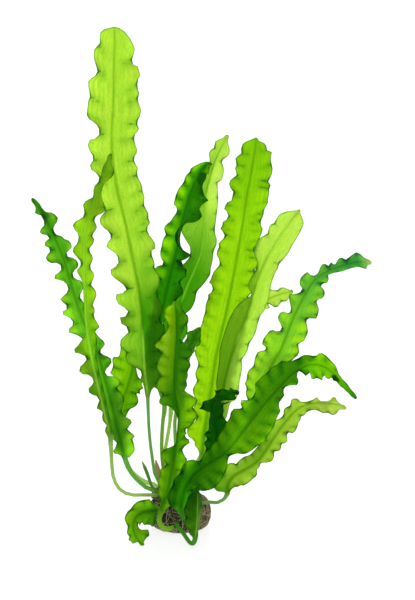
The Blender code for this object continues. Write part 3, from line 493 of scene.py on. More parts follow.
# The margins that show from the front, from tip to foot: across and up, in mm. None is a hidden stretch.
EDGES = {
    "tall_leaf": {
        "left": [
            (-46.2, 349.3), (-50.4, 347.9), (-53.9, 346.5), (-55.6, 344.4), (-56, 340.9), (-56, 337),
            (-58.1, 334.9), (-59.5, 333.9), (-60.1, 330.4), (-59.8, 325.5), (-58.4, 321.3), (-57.4, 317.8),
            (-59.1, 314.6), (-61.2, 312.8), (-63.7, 312.5), (-64, 307.3), (-63, 302.4), (-63, 298.9),
            (-64, 297.1), (-64.4, 292.6), (-65.1, 288.4), (-64.4, 284.9), (-62.3, 283.5), (-59.5, 281.4),
            (-57, 278.6), (-56, 275.1), (-57, 271.6), (-60.2, 270.2), (-63.3, 269.8), (-64.4, 267.4),
            (-63.8, 263.2), (-61.9, 261.1), (-60.5, 256.9), (-61.2, 253.4), (-62.8, 252.3), (-62.6, 249.2),
            (-60.2, 247.8), (-57.4, 245.3), (-56, 241.5), None, (-51.8, 220.8), (-53.9, 217.7),
            (-56, 214.5), (-55.8, 211.4), (-53.9, 208.6), (-50.8, 206.5), (-48.4, 203.3), (-48.6, 199.1),
            (-51.1, 197), (-51.4, 194.9), (-50, 193.2), (-46.9, 191.8), (-44.1, 189), (-42.7, 185.1),
            (-43.8, 182), (-46.5, 179.9), (-48.6, 178.5), (-47.9, 175), (-44.8, 172.2), (-40.9, 169.4),
            (-37.4, 166.2), (-37.8, 163.8), (-40.9, 162), (-44.7, 161.1), (-44.9, 158.9), (-43.4, 155),
            (-39.5, 152.6), (-36.8, 150.5), (-35.7, 148), (-37.1, 146.3), (-41.3, 145.7), (-42, 144.2),
            (-40.6, 140.7), (-36.4, 138.4), (-35.7, 135.8), (-36.8, 133.3), (-39.2, 131.9), (-41.3, 129.5),
            (-41.6, 124.6), None, (-30.1, 109.9), (-27.3, 107.8), (-26.6, 105), (-27.6, 102.2),
            (-25.9, 99.4), (-24.8, 95.9), (-24.5, 92.4), (-22.8, 89.6),
        ],
        "right": [
            (-46.2, 349.3), (-42.7, 347.9), (-39.9, 346.5), (-37.4, 343.7), (-35, 340.5), (-33.9, 338.1),
            (-32.5, 335.3), (-31.7, 332.1), (-32.9, 329), (-33.7, 325.5), (-32.9, 322.3), (-30.4, 322.5),
            (-29.6, 319.9), (-28.1, 315), (-29.7, 311.5), (-30.1, 307.3), (-29.4, 304.1), (-28, 303.1),
            (-29.4, 301), (-29.4, 296.1), (-28, 292.6), (-27.4, 289.4), (-28.5, 285.6), (-29.9, 282.8),
            (-29.9, 279.3), (-28.6, 276.8), (-30.4, 275.1), (-32.1, 272.3), (-31.8, 267.4), (-30.1, 262.5),
            (-30.8, 259.7), (-32.4, 257.2), (-31.8, 253.4), (-29.7, 249.9), (-30.2, 246.4), (-29.4, 242.9),
            (-26.9, 238), (-26.6, 234.5), (-25.1, 229.6), (-25.5, 225.4), (-24.5, 221.9), (-22.5, 219.1),
            (-22.4, 214.9), (-21, 210.3), (-23.4, 208.2), (-22.4, 204.4), (-20.6, 201.2), (-18.4, 198.8),
            (-17.1, 193.9), (-20.1, 192.1), (-19.9, 188.3), (-18.9, 186.2), (-17.8, 182), None,
            (-12.6, 141.4), (-10.5, 138.6), (-11.2, 134.4), (-13.6, 130.9), (-12.6, 126.7), (-15.4, 123.2),
            (-13.3, 120.4), (-13.3, 116.9), (-16.1, 113.4), (-15.7, 109.9), (-14.9, 105), (-15.4, 100.8),
            (-17.5, 97.3), (-20.3, 93.8), (-21.7, 90.3),
        ],
    },
    "outer_left_leaf": {
        "left": [
            (-103.6, 228.2), (-101.5, 225.4), (-101.1, 222.9), (-102.2, 220.1), (-101.5, 217.7),
            (-98.7, 217.1), (-95.9, 215.9), (-94.5, 213.1), (-95, 209.6), (-97.3, 207.2), (-98, 205.1),
            (-96.6, 203.6), (-93.4, 203.3), (-91.3, 200.9), (-92.8, 198.8), (-95.2, 197.4), (-94.6, 195.6),
            (-92, 194.6), (-90.5, 192.5), (-92, 190), (-93.8, 187.6), (-92.8, 185.1), (-89.6, 183.4),
            (-85.4, 183.4), (-82.6, 180.9), (-83.4, 178.1), (-85.8, 176), (-88, 174.3), (-86.9, 171.8),
            (-83.3, 171.5), (-79.8, 169.4), (-78, 165.9), (-79.4, 162), (-82.2, 160.1), (-83.6, 158.2),
            (-81.9, 156.1), (-79.1, 153.6), (-79.4, 150.8), (-81.9, 149.6), (-81.8, 147.3), (-77.7, 145.6),
            (-74.7, 142.1), (-75.6, 138.7), (-78, 137.5), (-77.7, 135.1), (-73.5, 134), (-70, 131.9),
            (-66.5, 128.8), (-64.4, 124.6), (-63, 114.1), (-60.2, 101.5), (-56.7, 91), (-53.9, 81.9),
            (-51.1, 72.1), (-47.6, 62.3), (-46.5, 59.8), (-44.1, 57.7), (-44.4, 54.9), (-46.5, 52.5),
            (-45.8, 50), (-42, 49.3), (-40.2, 46.2),
        ],
        "right": [
            (-103.6, 228.2), (-100.8, 227.6), (-98.3, 226.8), (-97.8, 221.5), (-95.2, 219.1), (-90.3, 219),
            (-87.1, 217), (-85.4, 213.6), (-87.8, 210), (-89, 206.8), (-88.2, 203.5), (-84.3, 202.9),
            (-81.2, 200.2), (-77.7, 198.7), (-75.7, 194.9), (-77.7, 192.4), (-79.8, 189.9), (-78.4, 187.6),
            (-74.2, 186.7), (-71.4, 183.4), (-71.8, 180.2), (-74.5, 177.8), (-75.4, 174.3), (-72.8, 172),
            (-69.3, 170.8), (-67.5, 166.6), (-69.8, 162), (-70, 158.9), (-67.9, 156.1), (-67.2, 151.9),
            (-65.8, 147.7), (-64.4, 143.5), (-62.3, 139.3), (-60.2, 135.8), (-58.1, 133), (-56.7, 130.9),
            (-53.9, 128.8), (-52.7, 125.8), (-55.3, 123.2), (-56, 120), (-52.5, 118.6), (-49, 116.9),
            (-47.9, 114.1), (-50.4, 110.6), (-52.8, 107.8), (-51.4, 104.3), (-46.9, 104.1), (-43.4, 102.2),
            (-41.3, 99.4), (-44.1, 96.8), (-43.8, 94.5), (-40.6, 91.7), (-39.2, 87.5), (-41.1, 79.8),
            (-38.5, 75.9), (-33.7, 72.8), (-35.7, 69.3), (-37.1, 66.5), (-34.3, 64.8), (-31.8, 61.6),
            (-33.9, 59.5), (-32.2, 56), (-31.4, 51.8), (-33.2, 47.9), (-37.1, 47.2), (-38.5, 44.8),
        ],
    },
    "inner_left_leaf": {
        "left": [
            (-48.3, 259.7), (-50.8, 256.6), (-53.2, 252.7), (-54.6, 248.5), (-55.3, 244.3), (-57, 239.4),
            (-60, 236.6), (-60.2, 232.4), (-61.6, 228.9), (-64.8, 227.3), (-67.4, 225.4), (-67.5, 222.6),
            (-66.6, 219.1), (-68.2, 214.9), (-72.1, 213.1), (-74.8, 210.3), (-74.2, 207.2), (-71.4, 204.4),
            (-70.7, 200.5), (-72.1, 196.7), (-74.5, 193.9), (-74.7, 190.8), (-71.8, 187.6), (-69.3, 184.1),
            (-70.3, 180.6), (-72.4, 178.1), (-70.7, 174.6), (-68.6, 170.8), (-67.7, 164.5), (-67.2, 155.4),
            (-66.3, 143.5), (-65.6, 134.4), (-68.9, 129.2), (-70.7, 126), (-73.6, 123.9), (-73.5, 120.7),
            (-69.6, 120), (-65.8, 117.9), (-65.5, 114.8), (-68.9, 111.8), (-70.6, 109.3), (-69.1, 105.8),
            (-64.4, 105.3), (-60.9, 102.9), (-60.3, 99.8), (-62.6, 96.7), (-64.4, 94.8), (-62.3, 91.7),
            (-58.4, 90.6), (-56, 86.4), (-57, 85), (-58.8, 82.8), (-56.7, 80.3), (-53.9, 79.8),
            (-54.4, 76.3), (-53.7, 72.6), (-51.1, 70), (-52.5, 66.1), (-51.1, 63), (-49, 59.8),
        ],
        "right": [
            (-48.3, 259.7), (-46.5, 254.8), (-45.6, 249.2), (-46.9, 244.3), (-50.4, 241.5), (-53.5, 238.3),
            (-55.2, 233.8), (-54.4, 228.2), (-53, 224.7), (-52.1, 221.5), (-53.5, 218.9), (-58.1, 216.6),
            (-60.2, 213.8), (-58.8, 210), (-58.5, 207.5), (-60.9, 204.4), (-61.6, 202.3), (-60.1, 199.8),
            (-61.2, 196.7), (-63.9, 192.8), (-62.6, 190), (-61, 187.2), (-62.3, 183.4), (-63, 179.9),
            (-60.4, 176.4), (-60.5, 172.5), (-62.2, 168), (-59.8, 165), (-58.3, 161.7), (-59.8, 157.5),
            (-61.2, 154.3), (-59.5, 150.8), (-60.2, 146.6), (-58.4, 142.4), (-56.2, 138.6), (-58.8, 136.5),
            (-59.1, 133.7), (-58.1, 128.1), (-59.1, 122.5), (-57.7, 112), (-55.3, 101.5), (-52.8, 91),
            (-50.4, 80.5), (-48.3, 70), (-47.2, 63.7),
        ],
    },
    "low_back_leaf": {
        "left": [
            (-35.7, 133.7), (-37.8, 131.8), (-39.9, 131.2), (-41.6, 127.4), (-41.3, 122.8), (-42.7, 118.1),
            (-46.2, 117.2), (-47.4, 114.8), (-46.7, 111.3), (-47.9, 108.1), (-48.6, 106.4), (-46.2, 103.9),
            (-42.7, 100.8), (-44.8, 95.9), (-43.4, 91.7), None,
        ],
        "right": [
            (-35.7, 133.7), (-32.5, 130.2), (-30.1, 125.3), (-29.8, 121.1), (-31.1, 115.5), (-30.8, 109.2),
            (-29.4, 103.6), (-26.9, 101.5), (-26.9, 98), (-25.8, 95.9), (-28.5, 94), (-28, 91.2),
            (-30.8, 92.4), (-29.7, 89.2), (-29.4, 86.1), (-31.5, 82.9), (-35, 81.2), (-37.1, 78),
            (-38.8, 73.5), None,
        ],
    },
    "curled_leaf": {
        "left": [
            (22, 250.6), (21, 253.7), (16.8, 253.9), (11.9, 252), (7.7, 249.5), (7, 247.1), (4.2, 244.3),
            (2.8, 240.1), (1.4, 238), (-0.7, 235.5), (-2.4, 231.7), (-3.5, 227.8), (-4.2, 224),
            (-2.1, 222.2), (-2.1, 219.1), (-4.5, 215.6), (-6.6, 212.4), (-9.8, 210), (-11, 206.8),
            (-9.6, 203.3), (-11.7, 200.2), (-12.6, 195.3), (-13.6, 191.1), (-13.3, 187.2), (-11.4, 184.1),
            (-12.6, 181.6), (-15.4, 181.2), (-17.5, 179.5), (-17.8, 176.8), (-16.8, 173.9), (-14, 171.1),
            None,
        ],
        "right": [
            (22, 250.6), (21, 247.1), (18.2, 245.5), (15.7, 243.9), (13.6, 239.4), (13.3, 234.5),
            (15.4, 230.3), (18.4, 227.5), (14.7, 225), (13.3, 222.2), (14.7, 219.4), (16.9, 217.7),
            (14, 213.8), (10.5, 212.2), (5.6, 211.8), (1.8, 209.3), (-1, 205.1), (-1.6, 200.2), (0, 194.6),
            (2.4, 192.1), (5.6, 190.4), (7.7, 189.7), (4.9, 185.8), (1, 184.1), (2.4, 180.9), (4.9, 179.2),
            None, (-6.3, 149.1), (-7.7, 144.9), (-12.2, 142.1), (-13.3, 138.6), (-12.2, 135.1),
            (-7.7, 131.6), (-6.3, 127.4), None,
        ],
    },
    "pale_back_leaf": {
        "left": [
            (33.6, 273.3), (30.4, 272.3), (26.9, 270.2), (24.4, 268.1), (24.2, 264.2), (21.7, 262.5),
            (20.3, 259.7), (21, 256.2), (20.6, 252.3), (19.9, 248.5), None, (11.2, 214.2), (7.3, 212.4),
            (2.8, 210), (1, 206.1), (2.8, 201.9), (4.9, 198.1), (7, 194.6), (7, 188.3), (4.2, 184.1), None,
        ],
        "right": [
            (33.6, 273.3), (34.7, 270.9), (33.9, 268.1), (34.6, 263.9), (34.3, 259.7), (31.5, 256.9),
            (29, 254.8), (30.3, 250.6), (30.4, 246.4), (28.7, 241.1), (26.2, 240.1), (26.4, 234.5),
            (26.6, 227.5), (25.9, 220.5), (25.2, 214.9), (24.1, 205.8), (25.5, 200.2), (25.2, 195.6),
            (23.4, 191.8), (22.4, 184.1), (21.3, 179.9), (21, 175.7), (18.2, 171.1), (14.7, 166.9),
            (11.5, 163.1), (10.5, 157.5), (8, 151.9), (5.2, 149.1), (2.8, 147.3), None,
        ],
    },
    "broad_leaf": {
        "left": [
            (51.1, 270.5), (48.6, 271.2), (47.2, 270.5), (46.5, 268.4), (44.1, 266.7), (42.7, 263.9),
            (44.1, 261.8), (42.3, 259.3), (39.9, 257.9), (38.5, 254.8), (40.4, 253), (38.7, 250.6),
            (39.4, 247.4), (39.7, 243.9), (36.4, 242.9), (35, 240.1), (34.3, 236.6), (36.4, 235.5),
            (37.6, 233.1), (36.8, 229.6), (36.3, 227.1), (33.6, 226.1), (31.8, 223.3), (31.1, 220.5),
            (33.2, 219.1), (34, 216.6), (32.5, 213.5), (30.2, 212.4), (29.7, 209.3), (28.3, 206.8),
            (30.4, 205.1), (31.5, 203), (30.4, 200.2), (27.3, 197.4), (27.3, 193.9), (25.9, 191.1),
            (26, 188.6), (27.8, 185.5), (27.6, 181.3), (24.8, 178.8), (23.4, 176.4), (21.7, 171.8),
            (19.9, 170.4), (22.4, 168), (23.1, 165.2), (21.7, 162.4), (20, 161.5), (19.9, 158.5),
            (18.2, 154.3), (17.8, 149.1), (16.3, 144.9), (15.7, 141.4), (14, 136.8), (14, 132.3),
            (13.6, 127.7), (11.4, 124.6), (10.6, 121.1), (11.3, 117.6), (12.9, 114.4), (12.6, 110.6),
            (11.2, 107.4), (10.9, 104.1), (12.3, 102.2), (11.2, 98.7), (9.1, 95.5), (9.8, 91),
            (11.4, 87.1), (10.5, 84), (9.1, 81.2), (10.8, 79.4), (11.9, 76.3), (10.7, 72.4), (7.7, 70),
            (5.2, 67.5), (5.1, 64.4), (7, 60.9), (10.1, 59.5), (10.6, 55.6), (13.1, 52.5), (13.5, 49),
            (13.1, 44.8),
        ],
        "right": [
            (51.1, 270.5), (52.8, 270.5), (54.9, 269.1), (58.1, 268.1), (60.5, 265.3), (60.7, 262.5),
            (63.9, 261.4), (63.7, 259), (63.3, 255.5), (63.8, 253.2), (64.6, 249.9), (64.3, 247.1),
            (63.7, 243.9), (61.6, 241.8), (61.9, 239.4), (63.3, 237.8), (62.3, 235.9), (62.1, 231.7),
            (61.2, 227.5), (61.3, 224.9), (59.8, 222.9), (58.3, 219.1), (58.3, 216.1), (56.7, 214.2),
            (56.3, 210), (57.7, 207.2), (56.7, 203.7), (55.6, 200.9), (54.4, 197.8), (52.8, 195.3),
            (51.8, 191.8), None, (20.6, 66.5), (21, 59.5), (19.6, 53.9), (17.5, 50.4),
        ],
    },
    "pale_right_leaf": {
        "left": [
            (83.6, 220.3), (78.4, 219.8), (72.8, 218.9), (69.5, 217), (67.4, 213.8), (65.5, 210.7),
            (63.2, 210), (62.2, 207.2), (61.2, 203.7), (58.1, 202.2), (55.3, 199.8), (53.9, 197),
            (52.1, 192.8), (52.2, 189.3), (54, 185.5), (53.9, 181.3), (51.8, 176.4), (49, 171.5),
            (47.8, 168), (48.8, 164.5), (50.4, 162), (48.6, 159.6), (44.8, 157.5), (39.9, 153.3),
            (35, 144.9), (30.8, 133), (28, 122.5), (27.3, 112), (25.5, 98), (28, 87.5), (31.5, 77.7),
        ],
        "right": [
            (83.6, 220.3), (84.7, 217), (86.5, 212.1), (85.4, 208.2), (84, 205.1), (82.1, 201.9),
            (79.8, 198.1), (77.7, 194.6), (76.3, 191.4), (74.2, 188.6), (72.1, 185.8), (69.3, 183),
            (68.4, 179.9), (66.5, 176.4), (64.8, 172.2), (63.6, 168.3), (63, 164.5), (61.8, 158.2),
            (60.2, 154), (58.8, 149.8), (56.7, 147.7), (54.6, 142.1), (52.8, 135.1), (50.4, 130.2),
            (48.2, 126.7), (47.2, 122.5), (45.1, 118.6), (43, 115.5), (43.4, 111.3), (42.7, 106.4),
            (41.6, 100.8), (40.9, 95.2), (39.2, 88.2), (35.7, 86.1), (34.1, 82.9), (33.6, 78.4),
            (32.5, 74.2),
        ],
    },
    "small_back_leaf": {
        "left": [
            (80.1, 162), (78, 163.6), (75.9, 165.2), (73.1, 166.2), (70.3, 165.9), (68.6, 164.5),
            (65.8, 164.1), (63, 165), None,
        ],
        "right": [
            (80.1, 162), (77.3, 160.3), (76.5, 158.2), (74.5, 156.7), (71.4, 156.4), (70, 155.2),
            (68.8, 153.3), (66.5, 152.6), (64, 154), (61.6, 155), None,
        ],
    },
    "arching_leaf": {
        "left": [
            (133.7, 184.1), (131.2, 185.6), (128.4, 188.3), (126, 190.4), (123.8, 191.1), (121.4, 189.8),
            (119, 188.2), (115.1, 185.5), (113.4, 186.7), (112.3, 187.6), (110.6, 185.8), (109.4, 182.7),
            (108.1, 181.3), (107.3, 183.6), (105.7, 184.1), (103.9, 181.8), (102.5, 180.7), (101.5, 182.7),
            (100.3, 183.4), (98.5, 180.9), (97.5, 177.8), (96.5, 174.6), (94.8, 173.9), (92.4, 174.6),
            (90.9, 176.4), (89.5, 177.8), (86.8, 175.6), (84.6, 173.2), (83.5, 170.1), (84, 166.9),
            (85.4, 165.2), (84.3, 163.1), (81.5, 161.9), (79.1, 161.7), (77.3, 162), (76.5, 159.6),
            (77, 156.1), (77.9, 151.9), (77.2, 148.8), (75.2, 148.2), (73.5, 149.4), (71, 149.1),
            (69.3, 147), (68.6, 144.2), (70.2, 141.4), (71.5, 138.6), (70.3, 135.9), (67.5, 135.5),
            (64, 136.8), (62.3, 135.1), (60.5, 132.8), (58.6, 130.2), (57.9, 126.7), (59.7, 124.9),
            (60.4, 122.8), (58.1, 121.7), (55.6, 122), (53.9, 119.7), (52.5, 116.2), (51.6, 111.3),
            (49, 109.1), (47.3, 106), (46.8, 101.5), (45.5, 98.5), (46.9, 95.9), (46.2, 92.8),
            (46.7, 89.9), (47.6, 87.1), None,
        ],
        "right": [
            (133.7, 184.1), (133, 180.9), (131.6, 179.9), (129.8, 178.6), (126.7, 179.7), (123.9, 180.2),
            (120.4, 179.8), (116.2, 178.4), (111.3, 177), (106.4, 176), (103.2, 174.8), (103.6, 171.8),
            (102.5, 169), (100.1, 168.7), (98.7, 166.9), (100.3, 164.8), (101.2, 162), (100.1, 159),
            (97.6, 158.2), (95.5, 156.7), (96.4, 153.6), (97.1, 150.8), (96.2, 147), (94.8, 144.2),
            (92, 144.9), (89.2, 144.5), (88.2, 142.4), (88.9, 138.6), (89.3, 135.1), (87.8, 131.2),
            (86.1, 128.4), (83.6, 127.7), (82.5, 125.6), (83.3, 122.1), (82.2, 119), (79.4, 116.5),
            (77, 114.1), None,
        ],
    },
    "short_dark_leaf": {
        "left": [
            (40.6, 95.2), (38.1, 96.2), (35.3, 96.4), (33.6, 94.6), (30.1, 95.2), (26.9, 94.1), (25.1, 95),
            (25.7, 91.7), (23.4, 88.9), (19.9, 87.5), (18.2, 88.2), (16.4, 87.5), (16.1, 84.7),
            (13.4, 83.3), (16.1, 81.3), (18.2, 79.8), (21.3, 79.1), (20.5, 73.5), (20.1, 66.5), None,
        ],
        "right": [
            (40.6, 95.2), (39, 92.4), (39.4, 88), (35, 87.3), (30.8, 87.3), (28, 86.9), (30.1, 84.7),
            (31.7, 83.1), (30.3, 80.1), (29.7, 77), (31.5, 73.8), (33.6, 70.7), (32.5, 66.5), None,
        ],
    },
    "drooping_leaf": {
        "left": [
            (123.9, 88.2), (121.1, 92.4), (119, 95.2), (118.5, 97.6), (116.5, 98.7), (114.1, 101.5),
            (112.7, 103.6), (112, 105), (110.7, 106.4), (109.9, 109.9), (108.1, 113), (105.7, 115.3),
            (102.2, 118.3), (99.4, 120.4), (96.6, 120.5), (95.4, 118.6), (92.4, 118.3), (88.9, 118.8),
            (86.1, 118.6), (83.6, 116.9), (80.5, 115.5), (75.6, 113.7), (72.4, 115.1), (70, 113.7),
            (67.2, 111.3), (64.4, 110.6), (61.6, 107.1), (57.4, 103.6), (54.6, 100.8), (52.5, 98),
            (53.2, 94.5), (51.1, 89.6), (46.2, 86.1), (42.7, 85), (43.6, 82.2), (41.3, 81.2), (38.1, 81.4),
            (35.7, 78.4), (35, 74.9), (32.2, 70.7), (29.4, 65.8), (26.6, 60.9), (22.4, 55.3), (17.5, 50.4),
            (13.6, 44.4), (10.5, 45.6), (7, 45.5), (4.2, 44.6), (2.1, 42), (1.6, 38.5), (-1.4, 34.6),
            (-4.2, 31.5), (-4.9, 28), (-7.3, 23.8), (-8.8, 18.9), (-7, 13.3), (-3.5, 9.8),
        ],
        "right": [
            (123.9, 88.2), (121.4, 89.6), (119.3, 90.1), (117.9, 92), (115.5, 92.9), (113.7, 95.9),
            (111.6, 96.4), (110.9, 98.7), (110.6, 102.2), (109.5, 103.9), (106.8, 103.9), (104.3, 102.4),
            (102.5, 102.5), (101.5, 104.6), (100.3, 105.8), (99, 103.6), (98, 101.8), (95.5, 103),
            (93.1, 102), (91.7, 104.3), (91, 106.6), (89.1, 106.3), (87.5, 103.2), (86.1, 105),
            (85.4, 108.1), (84, 109.4), (82.2, 107.1), (81.8, 103.6), (82.8, 100.8), (81.5, 98), (77, 98),
            (73.5, 96.6), (72.1, 93.8), (73.1, 91.3), (71, 88.2), (69.1, 85.4), (69.4, 81.9), (70.2, 79.8),
            (68.2, 76.3), (66.8, 72.8), (65.1, 67.9), (61.6, 63), (59.1, 58.8), (53.9, 55.3), (49.7, 52.1),
            (44.8, 49.7), (39.9, 50.2), (35, 48.6), (33.4, 46.2), (33.1, 42), (31.8, 37.1), (28, 30.4),
            (22.8, 25.7), (17.5, 24.6), (11.9, 24.8), (8, 25.5), (9.1, 23.1), (11.2, 20.3), (11.5, 16.1),
            (9.1, 12.6), (5.2, 10.1),
        ],
    },
    "yellow_leaf": {
        "left": [
            (116.5, 80.5), (114.4, 82.6), (112.3, 84.3), (109.9, 87.1), (108.7, 89.6), (106.8, 89.4),
            (105, 87.5), (101.5, 86.6), (98, 86.9), (95.9, 89.6), (93.8, 88.2), (90.6, 86.7), (86.8, 85.9),
            (83.9, 86.4), (82.6, 88.2), (79.8, 88.5), (77.7, 86.8), (77.2, 83.6), (74.2, 82.2),
            (72.6, 80.1), (72.8, 77.7), (70.7, 74.9), (67.9, 73.5), (63.7, 72.8), (60.2, 71.4),
            (57.7, 68.9), (56, 66.8), (58.4, 65.5), (59.8, 61.6), (57.7, 58.8), (54.9, 55.3), (51.8, 51.8),
            (49, 49), (45.1, 47.6), (42, 45.5), (39.2, 42.5), (37.1, 43.4), (34.6, 43.2), (32.2, 39.9),
            (29.4, 36.4), (25.2, 32.2), (22, 28), (23.4, 24.8), (26.2, 23.1), (29.4, 22), (32.2, 22.8),
        ],
        "right": [
            (116.5, 80.5), (113.7, 78.8), (110.9, 77.1), (107.1, 77.1), (105.7, 77), (103.6, 78.4),
            (100.1, 78.2), (97.3, 79.6), (94.5, 80.5), (91, 80.3), (88.2, 78.8), (86.8, 76.8),
            (84.6, 76.3), (84.2, 73.8), (82.8, 71.8), (81.9, 68.6), (80.5, 65.8), (78.4, 64.4),
            (75.8, 64.9), (74.5, 62.6), (75.1, 59.5), (73.5, 57.4), (70.8, 56.9), (70.7, 54.4),
            (69.3, 52.1), (65.8, 51.4), (65.8, 48.3), (64.4, 45.3), (61.2, 43.8), (56.7, 43.6),
            (55.6, 40.9), (53.7, 38.8), (54.1, 35.3), (51.1, 32.7), (48.3, 30.1), (44.4, 27.9),
            (40.6, 27.2), (37.8, 26.5), (36, 25.2), (34.6, 23.1),
        ],
    },
    "floor_leaf": {
        "left": [
            (-17.5, -1), (-19.6, -1.6), (-21, 0.3), (-23.8, 0.7), (-26.2, 2.4), (-27.6, 0.3), (-28.9, 1.9),
            (-29.5, 0), (-28.2, -1.9), (-25.9, -3.1), (-22.8, -3), (-21.7, -4.2), (-22.4, -6.6),
            (-24.1, -9.1), (-21.7, -10.7), (-22.4, -12.9), (-23.6, -14.7), (-24.8, -15.3),
        ],
        "right": [
            (-21, 17.8), (-24.5, 17.5), (-28, 16.8), (-30.1, 15.7), (-32.2, 14), (-34.3, 11.2),
            (-36.4, 9.4), (-37.8, 7), (-38.7, 4.2), (-37.6, 1.4), (-36.4, -1.4), (-36.9, -5.6),
            (-35.2, -8.4), (-35.9, -10.5), (-34.3, -11.2), (-32.5, -13.1), (-30.1, -11.7), (-27.3, -11.5),
            (-25.4, -12.9), (-24.8, -15.3),
        ],
    },
    "centre_leaf": {
        "left": [
            (-3.8, 156.8), (-6.6, 155.8), (-9.4, 153.3), (-11.1, 149.8), (-10.8, 145.6), (-9.1, 143.1),
            (-8.5, 139.3), (-9.2, 134.8), (-12.2, 132.3), (-14, 129.5), (-16.8, 127), (-17.1, 124.6),
            (-13.3, 122.5), (-13.6, 117.6), (-15.6, 113.4), (-16.1, 110.6), (-14.3, 106.8), (-14.1, 103.2),
            (-15.6, 99.4), (-15.9, 95.5), (-13.5, 93.8), (-11.9, 91), (-14.1, 88.2), (-14, 84.7),
            (-10.5, 84), (-6.6, 82.4), (-3.8, 79.1), (-1.3, 74.9), (-1.2, 69.3), (0.7, 64), (0.7, 60.9),
            (-2.4, 56.7), (-6.3, 54.6), (-9.8, 53.2), (-12.7, 51.1), (-12.4, 46.9), (-9.6, 43.4),
            (-10.8, 40.6), (-13.3, 39.2), (-14.3, 33.6), (-15, 26.6), (-14.8, 21), (-13.6, 16.8),
            (-14.3, 11.9), (-15.4, 7), (-15.9, 2.1),
        ],
        "right": [
            (-3.8, 156.8), (-1.4, 155), (1.4, 151.9), (1.8, 149.1), (4.9, 147.3), (6.3, 144.5),
            (4.5, 142.1), (3.2, 138.6), (2.8, 133.7), (2.1, 129.8), (5.6, 127.7), (8.2, 124.6),
            (9.1, 120.4), (7.3, 117.6), (2.8, 115.5), (5.2, 113.7), (6.3, 110.6), (4.8, 107.8), (5.8, 105),
            (4.9, 102), (7.2, 99.8), (8, 95.9), (9.4, 92), (11.2, 88.5), (10.5, 84.7), (8.8, 81.7),
            (11.2, 79.4), (11.5, 75.6), (9.4, 72.1), (5.9, 68.2), (3, 66.8), (4.4, 64.4), (2.8, 61.9),
            (5.6, 60.2), (7, 58.1), (3.8, 55.6), (1.4, 53.2), (2.8, 49), (4.9, 45.5), (3.1, 42),
            (0.7, 37.8), (-1.4, 31.5), (-2.1, 24.5), (-4.2, 17.5), (-7.7, 11.9), (-10.5, 7), (-12.6, 2.1),
        ],
    },
}

# Each leaf's colour with light through it and its colour on the face, and its slot in the record.
FINISHES = {
    "tall_leaf": ((0.73, 0.92, 0.22), (0.16, 0.34, 0.01), "bright_leaf"),
    "outer_left_leaf": ((0.6, 0.93, 0.12), (0.04, 0.18, 0.01), "dark_leaf"),
    "inner_left_leaf": ((0.72, 0.94, 0.12), (0.1, 0.28, 0.005), "green_leaf"),
    "low_back_leaf": ((0.47, 0.75, 0.03), (0.1, 0.28, 0.005), "green_leaf"),
    "curled_leaf": ((0.56, 0.9, 0.05), (0.018, 0.1, 0.003), "dark_leaf"),
    "pale_back_leaf": ((0.71, 0.91, 0.26), (0.18, 0.34, 0.02), "pale_leaf"),
    "small_centre_leaf": ((0.5, 0.85, 0.01), (0.1, 0.28, 0.005), "green_leaf"),
    "centre_leaf": ((0.74, 0.98, 0.02), (0.1, 0.26, 0.005), "green_leaf"),
    "broad_leaf": ((0.64, 0.88, 0.06), (0.13, 0.32, 0.004), "bright_leaf"),
    "pale_right_leaf": ((0.65, 0.86, 0.19), (0.2, 0.4, 0.005), "pale_leaf"),
    "small_back_leaf": ((0.75, 0.91, 0.27), (0.2, 0.36, 0.03), "pale_leaf"),
    "arching_leaf": ((0.64, 0.92, 0.1), (0.09, 0.26, 0.015), "green_leaf"),
    "short_dark_leaf": ((0.13, 0.56, 0.008), (0.012, 0.09, 0.004), "dark_leaf"),
    "drooping_leaf": ((0.66, 0.97, 0.015), (0.04, 0.2, 0.004), "dark_leaf"),
    "yellow_leaf": ((0.65, 0.82, 0.2), (0.17, 0.31, 0.012), "pale_leaf"),
    "floor_leaf": ((0.58, 0.86, 0.08), (0.09, 0.24, 0.004), "green_leaf"),
    "kinked_leaf": ((0.42, 0.7, 0.06), (0.02, 0.14, 0.004), "dark_leaf"),
    "young_shoot": ((0.12, 0.34, 0.03), (0.05, 0.16, 0.02), "dark_leaf"),
    "brown_sheath": ((0.36, 0.24, 0.14), (0.2, 0.13, 0.08), "dry_sheath"),
}
# How much of its blue a leaf keeps where its painted shade is darkest: two of them turn bluish there.
PAINTED_SHADE_BLUE = {"arching_leaf": 2.2, "outer_left_leaf": 0.6}
